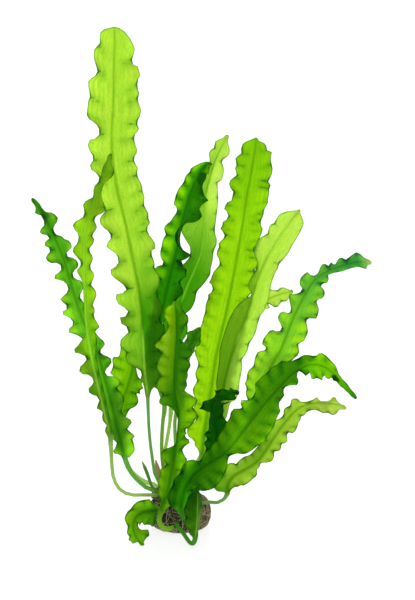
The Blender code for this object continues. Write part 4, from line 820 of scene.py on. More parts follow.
# Tones along a leaf, mostly painted shade and light: share of the run, and how far the left and the right
# half go to the deep colour (up to 1), painted shade where leaves overlap and where a half is turned from the
# light, or to the palest one (down to -1), painted light in places and a leaf's own paler tone in others.
SHADE_AND_LIGHT_TONES = {
    "tall_leaf": [
        (0.2, 0.3, 0.4), (0.27, 0.4, 0.7), (0.31, 0.4, 0.95), (0.36, 0.35, 1), (0.41, 0.25, 0.75),
        (0.46, 0.05, 0.35), (0.53, 0, 0.05),
    ],
    "outer_left_leaf": [(0.25, 0, 0), (0.42, 0, 0.1), (0.6, -0.1, -0.1), (0.75, 0, 0), (1, 0.35, 0.3)],
    "inner_left_leaf": [
        (0.3, 0.1, 0.25), (0.5, 0.05, 0.3), (0.62, 0.05, 0), (0.85, -0.05, -0.15), (0.97, 0.1, 0.1),
    ],
    "low_back_leaf": [(0.6, -0.1, 0.15), (1, -0.1, 0.1)],
    "curled_leaf": [
        (0.3, 0.9, 0.9), (0.55, 0.8, 0.95), (0.63, 0.3, 0.95), (0.68, 0, 1), (0.75, -0.05, 1),
        (0.9, -0.1, 0.8), (1, 0.2, 0.3),
    ],
    "pale_back_leaf": [
        (0.5, 1, 1), (0.6, 0.95, 0.85), (0.68, 0.65, 0.5), (0.76, 0.4, 0.15), (0.84, 0.35, -0.3), (1, 0, 0),
    ],
    "centre_leaf": [
        (0.05, 0.8, 0.7), (0.14, 0.6, 0.5), (0.22, 0.25, 0.3), (0.35, 0.3, 0.25), (0.45, 0.6, 0.45),
        (0.55, 0.6, 0.1), (0.64, 0.4, 0.3), (0.7, -0.15, 0.7), (0.9, -0.2, 0.8), (1, 0, 0.5),
    ],
    "small_centre_leaf": [(0.3, 0.35, 0.35), (1, 0.25, 0.25)],
    "broad_leaf": [
        (0.08, 0.7, 0.8), (0.1, 0.5, 0.7), (0.12, 0.1, 0.4), (0.3, 0, 0.1), (0.5, 0, 0.05),
        (0.75, 0.05, 0.1), (0.9, 0.25, 0.25), (1, 0.35, 0.35),
    ],
    "pale_right_leaf": [
        (0.4, 0.1, -0.3), (0.58, 0, -0.25), (0.7, -0.05, -0.2), (0.8, -0.25, -0.25), (1, -0.4, -0.4),
    ],
    "arching_leaf": [
        (0.3, -0.25, -0.2), (0.5, -0.15, -0.1), (0.65, -0.05, 0.05), (0.8, 0.3, 0.35), (1, 0.75, 0.75),
    ],
    "drooping_leaf": [
        (0.1, 0.7, 0.6), (0.22, 0.7, 0.6), (0.32, 0.4, 0.45), (0.42, 0.2, 0.2), (0.5, 0.15, 0),
        (0.65, 0.15, 0.1), (0.75, 0.45, 0.3), (0.82, 0.1, 0.15), (0.92, 0.2, 0.25), (1, 0.6, 0.6),
    ],
    "yellow_leaf": [
        (0.2, 0.7, 0.4), (0.3, 0.15, 0), (0.45, 0.3, 0.05), (0.7, 0, 0), (0.85, -0.3, -0.3),
        (1, -0.5, -0.5),
    ],
    "floor_leaf": [(0.2, 0.8, 0.6), (0.4, 0.5, 0.2), (0.6, 0.2, 0), (1, 0.2, 0.05)],
    "kinked_leaf": [(0.4, 0.5, 0.2), (0.7, 0.2, -0.2), (0.85, 0.6, 0.6), (1, 0.9, 0.9)],
    "short_dark_leaf": [(0.3, 0.2, 0.3), (0.7, 0, 0.2), (1, 0, 0)],
}
# Painted shade: how much deeper the blade is painted beside the midrib, how far out that reaches, and how
# much deeper it is painted between its lobes.
PAINTED_HEART_SHADE = {
    "tall_leaf": (0.1, 0.5, 0.25), "outer_left_leaf": (0.6, 0.5, 0.35), "inner_left_leaf": (0.25, 0.5, 0.35),
    "low_back_leaf": (0.3, 0.5, 0.35), "curled_leaf": (0.9, 0.3, 0.9), "pale_back_leaf": (0.1, 0.5, 0),
    "small_centre_leaf": (0.4, 0.5, 0.2), "centre_leaf": (0.45, 0.45, 0.3), "broad_leaf": (0.1, 0.5, 0.25),
    "pale_right_leaf": (0.1, 0.5, 0), "arching_leaf": (0.38, 0.5, 0.4), "drooping_leaf": (0.35, 0.45, 0.5),
    "yellow_leaf": (0.15, 0.5, 0.25), "floor_leaf": (0.3, 0.5, 0.2), "short_dark_leaf": (0.3, 0.5, 0.3),
}
NO_PAINTED_HEART_SHADE = (0, 1, 0)
# Stalks that aren't of the usual green.
STALKS = {
    "tall_leaf": (0.3, 0.54, 0.2), "curled_leaf": (0.34, 0.55, 0.12), "pale_back_leaf": (0.5, 0.7, 0.18),
    "small_centre_leaf": (0.36, 0.58, 0.18), "outer_left_leaf": (0.28, 0.56, 0.16),
    "centre_leaf": (0.42, 0.72, 0.06), "drooping_leaf": (0.12, 0.42, 0.03), "kinked_leaf": (0.16, 0.46, 0.06),
    "yellow_leaf": (0.32, 0.52, 0.18), "short_dark_leaf": (0.1, 0.4, 0.04),
    "floor_leaf": (0.3, 0.6, 0.03), "young_shoot": (0.2, 0.4, 0.1), "brown_sheath": (0.5, 0.42, 0.26),
}
# Stalks that are slimmer than their solids, and what share of the thickness they keep. The leaves whose tip
# is as pale as their stalk.
SLIM_STALKS = {"tall_leaf": 0.75, "young_shoot": 0.7}
STALK_TIPS = ("arching_leaf",)
# How near the midrib the painted dark creases reach, as a share of the half width.
CREASE_DEPTHS = {
    "tall_leaf": 0.25, "broad_leaf": 0.3, "curled_leaf": 0.08, "drooping_leaf": 0.1, "low_back_leaf": 0.25,
    "centre_leaf": 0.2,
}
USUAL_CREASE_DEPTH = 0.4
# Shares of the run between which the midrib lets through more light than the blade.
PALE_RIBS = {
    "tall_leaf": [(0.19, 0.37)],
    "inner_left_leaf": [(0.25, 0.98)],
    "pale_back_leaf": [(0.5, 0.85)],
    "pale_right_leaf": [(0.5, 0.58), (0.8, 0.97)],
    "kinked_leaf": [(0.4, 0.98)],
}
# What a leaf's finish reads at each point: how strong the nearest of its painted creases is and how far off
# it is in mm, how much the midrib, the blade, a notch's painted shade and a pale stretch of the midrib show,
# how far in from the margin the point lies in mm, and how far it is painted towards shade or light.
LEAF_FACTS = ("painted_crease", "fold", "rib", "blade", "edge", "notch", "pale", "tone_with_painted_shade")

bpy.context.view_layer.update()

VIEW_RIGHT = Vector((1, 0, 0))
VIEW_UP = Vector((0, math.sin(VIEW_TILT), math.cos(VIEW_TILT)))
VIEW_AWAY = Vector((0, math.cos(VIEW_TILT), -math.sin(VIEW_TILT)))
VIEW_AIM = VIEW_RIGHT * VIEW_CENTRE[0] + VIEW_UP * VIEW_CENTRE[1]


def placed(across, up, back):
    """The world point seen at (across, up) from the front, and lying `back` along +Y. All in metres."""
    above_centre = up - VIEW_CENTRE[1]
    slope = VIEW_UP.y * above_centre
    away = (back - VIEW_AIM.y - slope) / (VIEW_AWAY.y + slope / VIEW_DISTANCE)
    spread = 1 + away / VIEW_DISTANCE
    flat = VIEW_RIGHT * (across - VIEW_CENTRE[0]) + VIEW_UP * above_centre
    return VIEW_AIM + flat * spread + VIEW_AWAY * away


def seen(point):
    """Where a world point shows from the front: across and up. This undoes placed."""
    out = point - VIEW_AIM
    spread = 1 + out.dot(VIEW_AWAY) / VIEW_DISTANCE
    return (
        VIEW_CENTRE[0] + out.dot(VIEW_RIGHT) / spread,
        VIEW_CENTRE[1] + out.dot(VIEW_UP) / spread,
    )


def eased(value):
    """0 below 0, 1 above 1, and a smooth way between."""
    value = min(max(value, 0), 1)
    return value * value * (3 - 2 * value)


def through(before, start, end, after, t):
    """A point of the smooth curve from start to end, which the neighbours on both sides steer."""
    return 0.5 * (
        2 * start
        + (end - before) * t
        + (2 * before - 5 * start + 4 * end - after) * t * t
        + (3 * start - before - 3 * end + after) * t ** 3
    )


def leaf_places(leaf):
    """Where the rows of a leaf lie, with its lean."""
    rows = leaf["rows"]
    runs = [0]
    for before, row in zip(rows, rows[1:]):
        runs.append(runs[-1] + math.hypot(row[0] - before[0], row[1] - before[1]))
    return [
        placed(a * MM, u * MM, (b + leaf["lean"] * (run / runs[-1]) ** 2) * MM)
        for (a, u, b, _, _), run in zip(rows, runs)
    ]


def stations(leaf):
    """Points close together along a leaf, from its foot up: place, half width and turn."""
    rows = leaf["rows"]
    places = leaf_places(leaf)
    widths = [row[3] * MM for row in rows]
    turns = [math.radians(row[4]) for row in rows]
    found = [(places[0], widths[0], turns[0])]
    last = len(rows) - 1
    for i in range(1, last):
        step = RING_STEP if max(widths[i], widths[i + 1]) > BLADE_STARTS else STALK_RING_STEP
        count = max(1, round((places[i + 1] - places[i]).length / step))
        for k in range(count):
            t = k / count
            blend = eased(t)
            found.append((
                through(places[i - 1], places[i], places[i + 1], places[min(i + 2, last)], t),
                widths[i] + (widths[i + 1] - widths[i]) * blend,
                turns[i] + (turns[i + 1] - turns[i]) * blend,
            ))
    found.append((places[last], widths[last], turns[last]))
    return found


def bladed_share(width):
    """0 on the round stalk, 1 on the flat blade, by the half width."""
    return eased((width - BLADE_STARTS) / (BLADE_FULL - BLADE_STARTS))


def leaf_frames(line):
    """The leaf's direction and its sideways direction at each station, worked out from the tip down."""
    frames = []
    side = None
    for i in reversed(range(len(line))):
        ahead = line[min(i + 1, len(line) - 1)][0]
        behind = line[max(i - 1, 0)][0]
        along = (ahead - behind).normalized()
        _, width, turn = line[i]
        if side is None or bladed_share(width) > 0:
            side = Matrix.Rotation(-turn, 3, along) @ VIEW_AWAY.cross(along).normalized()
        else:
            side = (side - along * side.dot(along)).normalized()
        frames.append((along, side))
    return frames[::-1]


def half_ways(leaf, hand, share, along, side):
    """Which way one half of the blade spreads from the midrib, and which way its face looks, with its cup."""
    front = side.cross(along)
    cups = leaf.get("cup", [(0, 0, 0)])
    bends = [cup[1 if hand < 0 else 2] for cup in cups]
    angle = math.radians(float(np.interp(share, [cup[0] for cup in cups], bends)))
    out = side * hand * math.cos(angle) + front * math.sin(angle)
    face = front * math.cos(angle) - side * hand * math.sin(angle)
    return out, face


def seen_ways(line, ways):
    """The spine as seen from the front, and how far a step out and a step off the face of it show."""
    spine = np.array([seen(place) for place, _, _ in line])
    outs = np.array([seen(spot[0] + way[0] * MM) for spot, way in zip(line, ways)])
    lifts = np.array([seen(spot[0] + way[1] * MM) for spot, way in zip(line, ways)])
    return spine, (outs - spine) / MM, (lifts - spine) / MM


def face_shift(line, runs, ways, hand):
    """How far a lift off the face seems to slide forward and outward, for the margin to make up for it."""
    spine, outs, lifts = seen_ways(line, ways)
    tangents = np.gradient(spine, runs, axis=0)
    speed = np.maximum(np.hypot(*tangents.T), LEAST_SPEED)
    forward = tangents / speed[:, None]
    across = np.stack([forward[:, 1], -forward[:, 0]], axis=1) * hand
    out = np.maximum((outs * across).sum(axis=1), LEAST_ACROSS)
    ahead = np.clip((lifts * forward).sum(axis=1) / speed, -MOST_SHIFT, MOST_SHIFT)
    aside = np.clip((lifts * across).sum(axis=1) / out, -MOST_SHIFT, MOST_SHIFT)
    return ahead, aside


def plain_knots(leaf, hand, seed, start, end, width_at):
    """A stretch of margin that is hidden from the front, as even scallops."""
    wave, _, notch = leaf["ruffle"]
    wave = wave * MM
    knots = []
    count = max(1, round((end - start) / wave * KNOTS_PER_WAVE))
    for k in range(count):
        run = start + (end - start) * (k + 0.5) / count
        drift = UNEVENNESS * math.sin(run / (UNEVEN_WAVES * wave) + hand)
        phase = math.tau * run / wave + seed + hand * SIDES_APART + drift
        bite = notch * (0.5 - 0.5 * math.cos(phase))
        knots.append((run, width_at(run) * (1 - bite), 0))
    return knots


def traced_pieces(name, hand, line, runs, widths, first, ways):
    """The traced stretches of one margin, each a list of knots: run, distance from the midrib, lift."""
    spine, outs, lifts = seen_ways(line, ways)
    tangents = np.gradient(spine, np.array(runs), axis=0)
    pieces, piece = [], []
    for knot in EDGES.get(name, {}).get("left" if hand < 0 else "right", []) + [None]:
        if knot is None:
            if len(piece) > 1:
                pieces.append(piece)
            piece = []
            continue
        offsets = np.array(knot) * MM - spine[first:]
        near = first + int(np.argmin((offsets ** 2).sum(axis=1)))
        offset = offsets[near - first]
        speed = math.hypot(*tangents[near])
        forward = tangents[near] / speed
        across = np.array([forward[1], -forward[0]]) * hand
        reach, out, lift = offset @ across, outs[near] @ across, lifts[near] @ across
        widest = widths[near] * WIDEST_SHARE + MM
        away = min(reach / out, widest) if out > LEAST_OUT else widths[near]
        away = max(away + EDGE_GAIN, LEAST_HALF)
        rise = (reach - away * out) / lift if abs(lift) > LEAST_LIFT else 0
        rise = min(max(rise, -widths[near]), widths[near])
        ahead = (offset - away * outs[near] - rise * lifts[near]) @ forward
        piece.append((runs[near] + ahead / max(speed, LEAST_SPEED), away, rise))
    pieces = [piece if piece[0][0] < piece[-1][0] else piece[::-1] for piece in pieces]
    return sorted(pieces, key=lambda piece: piece[0][0])


def margin(name, hand, seed, line, runs, ways):
    """One margin's knots, from the blade's start to its tip, with scallops wherever no trace tells."""
    leaf = LEAVES[name]
    widths = np.array([width for _, width, _ in line])
    first = next(i for i, width in enumerate(widths) if width > BLADE_STARTS)

    def width_at(run):
        return float(np.interp(run, runs, widths))

    knots = [(runs[first], float(widths[first]), 0)]
    gap = leaf["ruffle"][0] * MM / 4
    for piece in traced_pieces(name, hand, line, runs, widths, first, ways):
        if piece[0][0] - knots[-1][0] > 2 * gap:
            knots += plain_knots(leaf, hand, seed, knots[-1][0], piece[0][0], width_at)
        knots += [knot for knot in piece if knot[0] > knots[0][0] + gap / 2]
    if runs[-1] - knots[-1][0] > 2 * gap:
        knots += plain_knots(leaf, hand, seed, knots[-1][0], runs[-1], width_at)
        knots.append((runs[-1], LEAST_HALF, 0))
    return knots


def turning_points(values, least):
    """Where a wandering value turns back by more than `least`: the index, and 1 for a top or -1 for a dip."""
    found = []
    way = low = high = 0
    for i, value in enumerate(values):
        high = i if value > values[high] else high
        low = i if value < values[low] else low
        if way >= 0 and values[high] - value > least:
            found.append((high, 1))
            way, low = -1, i
        elif way <= 0 and value - values[low] > least:
            if low:
                found.append((low, -1))
            way, high = 1, i
    return found


def smooth_course(knots):
    """Many points of the smooth curve through the knots, and how far each is along it."""
    padded = np.vstack([knots[0], knots, knots[-1]])
    steps = np.linspace(0, 1, COURSE_STEPS, endpoint=False)
    course = np.array([
        through(padded[k], padded[k + 1], padded[k + 2], padded[k + 3], t)
        for k in range(len(knots) - 1) for t in steps
    ] + [knots[-1]])
    lengths = np.hypot(*np.diff(course[:, :2], axis=0).T)
    return course, np.concatenate([[0], np.cumsum(lengths)])


def home_runs(course, travelled, turns, end):
    """The run at which each point of the course starts from the midrib, tied down at the notches."""
    anchors = [(0, course[0, 0])]
    for place, way in turns:
        if way < 0 and course[place, 0] > anchors[-1][1] + MM and course[place, 0] < end - MM:
            anchors.append((travelled[place], course[place, 0]))
    anchors.append((travelled[-1], end))
    return np.interp(travelled, *zip(*anchors))


def waves_and_creases(leaf, course, home, turns, draw, sign):
    """How far off its face the margin is at its lobes and notches, and the painted creases of shade: run,
    strength, slant.
    """
    wave, height, depth_share = leaf["ruffle"]
    wave, height = wave * MM, height * MM
    levels = [(home[0], 0)]
    creases = []
    for k, (place, way) in enumerate(turns):
        if way > 0:
            levels.append((home[place], draw.uniform(-LOBE_LIFT, LOBE_LIFT) * height))
            continue
        beside = [course[turns[j][0], 1] for j in (k - 1, k + 1) if 0 <= j < len(turns)]
        depth = max(np.mean(beside) - course[place, 1], 0) if beside else 0
        least, most = WAVE_LIMITS
        size = min(max(WAVE_BY_NOTCH * depth, least * height), most * height) * draw.uniform(*WAVE_VARIES)
        levels.append((home[place], sign * size))
        strength = min(1, SHALLOW_CREASE + depth / DEEP_NOTCH)
        creases.append((home[place], strength, draw.uniform(*CREASE_SLANT)))
        sign = -sign
    levels.append((home[-1], 0))
    places = [home[0]] + [painted_crease[0] for painted_crease in creases] + [home[-1]]
    for before, after in zip(places, places[1:]):
        extra = max(0, round((after - before) / (CREASE_SPACING * wave)) - 1)
        for k in range(extra):
            strength = draw.uniform(*ADDED_CREASE) * min(1, depth_share / FULL_NOTCH_SHARE)
            place = before + (after - before) * (k + 1) / (extra + 1)
            creases.append((place, strength, draw.uniform(*CREASE_SLANT)))
    return levels, creases


def eased_between(levels, runs):
    """The levels' values at each run, with an eased way from one to the next."""
    level_runs, level_values = (np.array(column) for column in zip(*levels))
    slot = np.clip(np.searchsorted(level_runs, runs) - 1, 0, len(levels) - 2)
    gap = np.maximum(level_runs[slot + 1] - level_runs[slot], 1e-6)
    part = np.clip((runs - level_runs[slot]) / gap, 0, 1)
    part = part * part * (3 - 2 * part)
    return level_values[slot] * (1 - part) + level_values[slot + 1] * part


def margin_course(name, hand, seed, line, runs, ways):
    """One margin at every station: how far along, out and up it is, its ruffle, its notches' painted shade
    and its painted creases.
    """
    if max(width for _, width, _ in line) <= BLADE_STARTS:
        flat = np.zeros(len(line))
        return np.array(runs), np.array([width for _, width, _ in line]), flat, flat, flat, []
    course, travelled = smooth_course(np.array(margin(name, hand, seed, line, runs, ways)))
    turns = turning_points(course[:, 1], LEAST_NOTCH)
    home = home_runs(course, travelled, turns, runs[-1])
    draw = random.Random(f"{name}{hand}")
    sign = 1 if (seed + (hand > 0)) % 2 else -1
    levels, creases = waves_and_creases(LEAVES[name], course, home, turns, draw, sign)
    runs = np.array(runs)
    started = runs >= home[0]
    ruffle = eased_between(levels, runs) * started
    # How strongly the painted shade at each notch shows along the margin.
    notch = np.zeros(len(runs))
    for place, strength, _ in creases:
        notch = np.maximum(notch, strength * np.exp(-((runs - place) / NOTCH_REACH) ** 2))
    forward, outward = face_shift(line, runs, ways, hand)
    forth = np.where(started, np.interp(runs, home, course[:, 0]), runs)
    return (
        forth - ruffle * forward,
        np.maximum(np.interp(runs, home, course[:, 1]) - ruffle * outward, LEAST_RUFFLED_HALF),
        np.interp(runs, home, course[:, 2]),
        ruffle,
        notch * started,
        creases,
    )


def leaf_surface(name, seed):
    """Rings of points from foot to tip, with what the finish needs at each point."""
    leaf = LEAVES[name]
    line = stations(leaf)
    frames = leaf_frames(line)
    runs = [0]
    for (before, _, _), (place, _, _) in zip(line, line[1:]):
        runs.append(runs[-1] + (place - before).length)
    ways = {
        hand: [half_ways(leaf, hand, run / runs[-1], *frame) for run, frame in zip(runs, frames)]
        for hand in (-1, 1)
    }
    courses = {hand: margin_course(name, hand, seed, line, runs, ways[hand]) for hand in (-1, 1)}
    spread = np.array(HALF_SPREAD + tuple(-v for v in reversed(HALF_SPREAD[:-1])))
    across = np.concatenate([spread, spread[::-1][1:-1]])
    facing = np.concatenate([np.ones(len(spread)), -np.ones(len(spread) - 2)])
    around = len(across)
    circle = np.arange(around) * math.tau / around
    size = np.abs(across)
    widest = max(width for _, width, _ in line)
    thick = BLADE_EDGE + (BLADE_MIDDLE - BLADE_EDGE) * np.sqrt(np.clip(1 - size ** 2, 0, 1))
    crease_depth = CREASE_DEPTHS.get(name, USUAL_CREASE_DEPTH)
    shade_and_light_tones = [np.array(column) for column in zip(*SHADE_AND_LIGHT_TONES.get(name, [(0, 0, 0)]))]
    painted_heart_shade, heart_reach, painted_lobe_shade = PAINTED_HEART_SHADE.get(name, NO_PAINTED_HEART_SHADE)
    lobe_gap = LOBE_GAP * leaf["ruffle"][0] * MM
    on_lobes = np.clip(size * LOBE_STARTS[0] - LOBE_STARTS[1], 0, 1)
    rings, facts = [], {kind: [] for kind in ("across", "run") + LEAF_FACTS}
    grown_up = False
    for i, ((place, width, _), (along, side)) in enumerate(zip(line, frames)):
        share = runs[i] / runs[-1]
        front = side.cross(along)
        bladed = bladed_share(width)
        rib_reach = RIB_REACH * (RIB_BY_WIDTH[0] + RIB_BY_WIDTH[1] * width / widest)
        rib_reach *= RIB_BY_RUN[0] - RIB_BY_RUN[1] * runs[i] / runs[-1]
        stalk = min(width, STALK * MM * STALK_FULLNESS) * SLIM_STALKS.get(name, 1)
        green = 1 if grown_up and name not in STALK_TIPS else bladed
        grown_up = grown_up or bladed == 1
        ring = np.zeros((around, 3))
        half = np.zeros(around)
        painted_crease = np.zeros(around)
        fold = np.full(around, FARTHEST_CREASE)
        edge = np.zeros(around)
        notched = np.zeros(around)
        tone_with_painted_shade = np.zeros(around)
        for hand in (-1, 1):
            mine = across > 0 if hand > 0 else across <= 0
            out, face = ways[hand][i]
            forth, away, rise, ruffle, notch = (values[i] for values in courses[hand][:5])
            grown = size[mine]
            half[mine] = grown * away
            lift = rise * grown ** LIFT_BEND + ruffle * bladed * grown ** RUFFLE_BEND
            ahead = (forth - runs[i]) * bladed * grown ** AHEAD_BEND
            ring[mine] = (
                np.outer(grown * away * bladed, np.array(out))
                + np.outer(lift * bladed, np.array(face))
                + np.outer(ahead, np.array(along))
            )
            edge[mine] = away * (1 - grown)
            notched[mine] = notch * min(1, away / NARROW_HALF)
            # Where the nearest of the painted creases of shade lies, and how far off it is.
            for start, strength, slant in courses[hand][5]:
                apart = np.abs(runs[i] + slant * edge[mine] - start)
                painted_crease[mine] = np.where(apart < fold[mine], strength, painted_crease[mine])
                fold[mine] = np.minimum(apart, fold[mine])
            painted_crease[mine] *= np.clip((grown - crease_depth) / (1 - crease_depth), 0, 1) ** CREASE_FADE
            # Painted shade and light along the run, from the tone table.
            tone_with_painted_shade[mine] = np.interp(share, shade_and_light_tones[0], shade_and_light_tones[1 if hand < 0 else 2])
        # Painted shade beside the midrib and between the lobes.
        tone_with_painted_shade += painted_heart_shade * np.exp(-((half / (heart_reach * width)) ** 4))
        tone_with_painted_shade += painted_lobe_shade * np.exp(-((fold / lobe_gap) ** 2)) * on_lobes
        ridge = np.exp(-((half / rib_reach) ** 2)) * bladed
        skin = facing * (thick / 2 + RIB_HEIGHT * ridge) * bladed
        skin[size == 1] = 0
        round_part = (1 - bladed) * stalk
        ring += np.array(place)
        ring += np.outer(skin + round_part * np.sin(circle), np.array(front))
        ring += np.outer(round_part * np.cos(circle), np.array(side))
        rings.append(ring)
        pale = max([0] + [
            eased((share - low) * PALE_RIB_ENDS) * eased((high - share) * PALE_RIB_ENDS)
            for low, high in PALE_RIBS.get(name, [])
        ])
        rib = np.exp(-((half / rib_reach) ** 4)) * bladed * (1 - RIB_FADES * share)
        for kind, values in (
            ("across", across), ("run", runs[i]), ("painted_crease", painted_crease * bladed), ("fold", fold / MM),
            ("rib", rib), ("blade", green), ("edge", edge / MM), ("notch", notched * bladed),
            ("pale", pale), ("tone_with_painted_shade", tone_with_painted_shade),
        ):
            facts[kind].append(np.zeros(around) + values)
    points = np.array(rings)
    low = points[..., 2] < FLOOR_EASE
    points[..., 2][low] = FLOOR_EASE * np.exp((points[..., 2][low] - FLOOR_EASE) / FLOOR_EASE)
    return points, {kind: np.array(values) for kind, values in facts.items()}


def cut_sides(piece, cuts):
    """Cuts the side faces of an upright cylinder into rings of the same height."""
    bpy.ops.object.mode_set(mode="EDIT")
    bpy.ops.mesh.select_mode(type="EDGE")
    bpy.ops.mesh.select_all(action="DESELECT")
    bpy.ops.object.mode_set(mode="OBJECT")
    for edge in piece.data.edges:
        low, high = (piece.data.vertices[v].co.z for v in edge.vertices)
        edge.select = abs(low - high) > 0.5
    bpy.ops.object.mode_set(mode="EDIT")
    bpy.ops.mesh.subdivide(number_cuts=cuts)
    bpy.ops.object.mode_set(mode="OBJECT")


def tube_primitive(name, rings, around):
    """A cylinder cut into rings from foot to tip. Returns it with each vertex's ring and place round it."""
    bpy.ops.object.select_all(action="DESELECT")
    bpy.ops.mesh.primitive_cylinder_add(vertices=around, radius=1, depth=1, end_fill_type="NGON")
    tube = bpy.context.object
    tube.name = name
    tube.data.name = name
    cut_sides(tube, rings - 2)
    places = np.empty(len(tube.data.vertices) * 3)
    tube.data.vertices.foreach_get("co", places)
    places = places.reshape(-1, 3)
    ring = np.rint((places[:, 2] + 0.5) * (rings - 1)).astype(int)
    turn = np.arctan2(places[:, 1], places[:, 0]) / math.tau * around
    return tube, ring, np.rint(turn).astype(int) % around


def smooth(piece, degrees=60):
    """Turns the faces outwards, and shades them smooth but for corners sharper than this."""
    bpy.ops.object.select_all(action="DESELECT")
    piece.select_set(True)
    bpy.context.view_layer.objects.active = piece
    bpy.ops.object.mode_set(mode="EDIT")
    bpy.ops.mesh.select_all(action="SELECT")
    bpy.ops.mesh.normals_make_consistent(inside=False)
    bpy.ops.object.mode_set(mode="OBJECT")
    bpy.ops.object.shade_smooth_by_angle(angle=math.radians(degrees))


def leaf_piece(name, seed):
    """One leaf, stalk and blade, with what its finish reads kept at its points."""
    points, facts = leaf_surface(name, seed)
    rings, around = points.shape[:2]
    leaf, ring, turn = tube_primitive(name + "_blade", rings, around)
    leaf.data.vertices.foreach_set("co", points[ring, turn].reshape(-1))
    for kind in LEAF_FACTS:
        layer = leaf.data.attributes.new(kind, "FLOAT", "POINT")
        layer.data.foreach_set("value", facts[kind][ring, turn].astype(np.float32))
    corners = np.empty(len(leaf.data.loops), dtype=np.int32)
    leaf.data.loops.foreach_get("vertex_index", corners)
    while leaf.data.uv_layers:
        leaf.data.uv_layers.remove(leaf.data.uv_layers[0])
    uv = leaf.data.uv_layers.new(name="leaf")
    flat = np.stack([
        0.5 + 0.5 * facts["across"][ring, turn][corners],
        facts["run"][ring, turn][corners] * MAP_PER_METRE,
    ], axis=1)
    uv.data.foreach_set("uv", flat.reshape(-1).astype(np.float32))
    leaf.data.update()
    smooth(leaf)
    through_colour, face_colour, slot = FINISHES[name]
    leaf.data.materials.clear()
    leaf.data.materials.append(leaf_material(name, through_colour, face_colour))
    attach(leaf, "root")
    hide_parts(name)


def node(tree, kind, inputs=None, **settings):
    """A new node, its inputs fed by sockets or set to plain values."""
    made = tree.nodes.new(kind)
    for key, value in settings.items():
        setattr(made, key, value)
    for key, value in (inputs or {}).items():
        if isinstance(value, bpy.types.NodeSocket):
            tree.links.new(value, made.inputs[key])
        else:
            made.inputs[key].default_value = value
    return made


def math_node(tree, operation, *values, clamp=False):
    made = node(tree, "ShaderNodeMath", dict(enumerate(values)), operation=operation, use_clamp=clamp)
    return made.outputs[0]


def mixed(tree, share, first, second, blend="MIX"):
    """A mix of two colours, each a socket or three plain numbers."""
    colours = [
        value if isinstance(value, bpy.types.NodeSocket) else (*value, 1) for value in (first, second)
    ]
    inputs = {0: share, 6: colours[0], 7: colours[1]}
    made = node(tree, "ShaderNodeMix", inputs, data_type="RGBA", blend_type=blend)
    return made.outputs[2]


def vein_net(group, from_rib, run, drift):
    """How dark the long, fine and cross veins are, added up."""
    slanted = math_node(group, "MULTIPLY_ADD", from_rib, CROSS_SLANT, run)
    net = 0
    for position, (wander, count, sharp, darkness) in zip((from_rib, from_rib, slanted), VEINS):
        wandering = math_node(group, "MULTIPLY_ADD", drift, wander, position)
        wave = math_node(group, "SINE", math_node(group, "MULTIPLY", wandering, count * math.pi))
        crest = math_node(group, "SUBTRACT", 1, math_node(group, "ABSOLUTE", wave))
        veins = math_node(group, "MULTIPLY", math_node(group, "POWER", crest, sharp), darkness)
        net = math_node(group, "ADD", net, veins)
    return net


def veins_and_painted_shade(group, facts, net, patches):
    """How dark the veins, and the painted shade of the ragged margin line and of the creases, make a point,
    whichever is darkest.
    """
    # A ragged margin line of painted shade, wider and darker at the notches.
    ragged = math_node(group, "MULTIPLY_ADD", patches, *RIM_BY_PATCH)
    rim_width = math_node(group, "MULTIPLY_ADD", facts["notch"], RIM_AT_NOTCH, ragged)
    within = math_node(group, "SUBTRACT", rim_width, facts["edge"])
    within = math_node(group, "MULTIPLY_ADD", within, *RIM_FADE, clamp=True)
    painted_rim_shade = math_node(group, "MULTIPLY", within, math_node(group, "MULTIPLY_ADD", facts["notch"], *RIM_DARK))
    painted_rim_shade = math_node(group, "MULTIPLY", painted_rim_shade, facts["blade"])
    # Painted shade along the creases: a narrow dark line and a wide faint one.
    narrow = math_node(group, "MULTIPLY_ADD", facts["fold"], *NARROW_CREASE, clamp=True)
    wide = math_node(group, "MULTIPLY_ADD", facts["fold"], *WIDE_CREASE, clamp=True)
    fold = math_node(group, "MULTIPLY", math_node(group, "MAXIMUM", narrow, wide), facts["painted_crease"])
    fold = math_node(group, "MULTIPLY", fold, math_node(group, "ADD", patches, CREASE_PATCHES))
    return math_node(group, "MAXIMUM", net, math_node(group, "MAXIMUM", painted_rim_shade, fold), clamp=True)


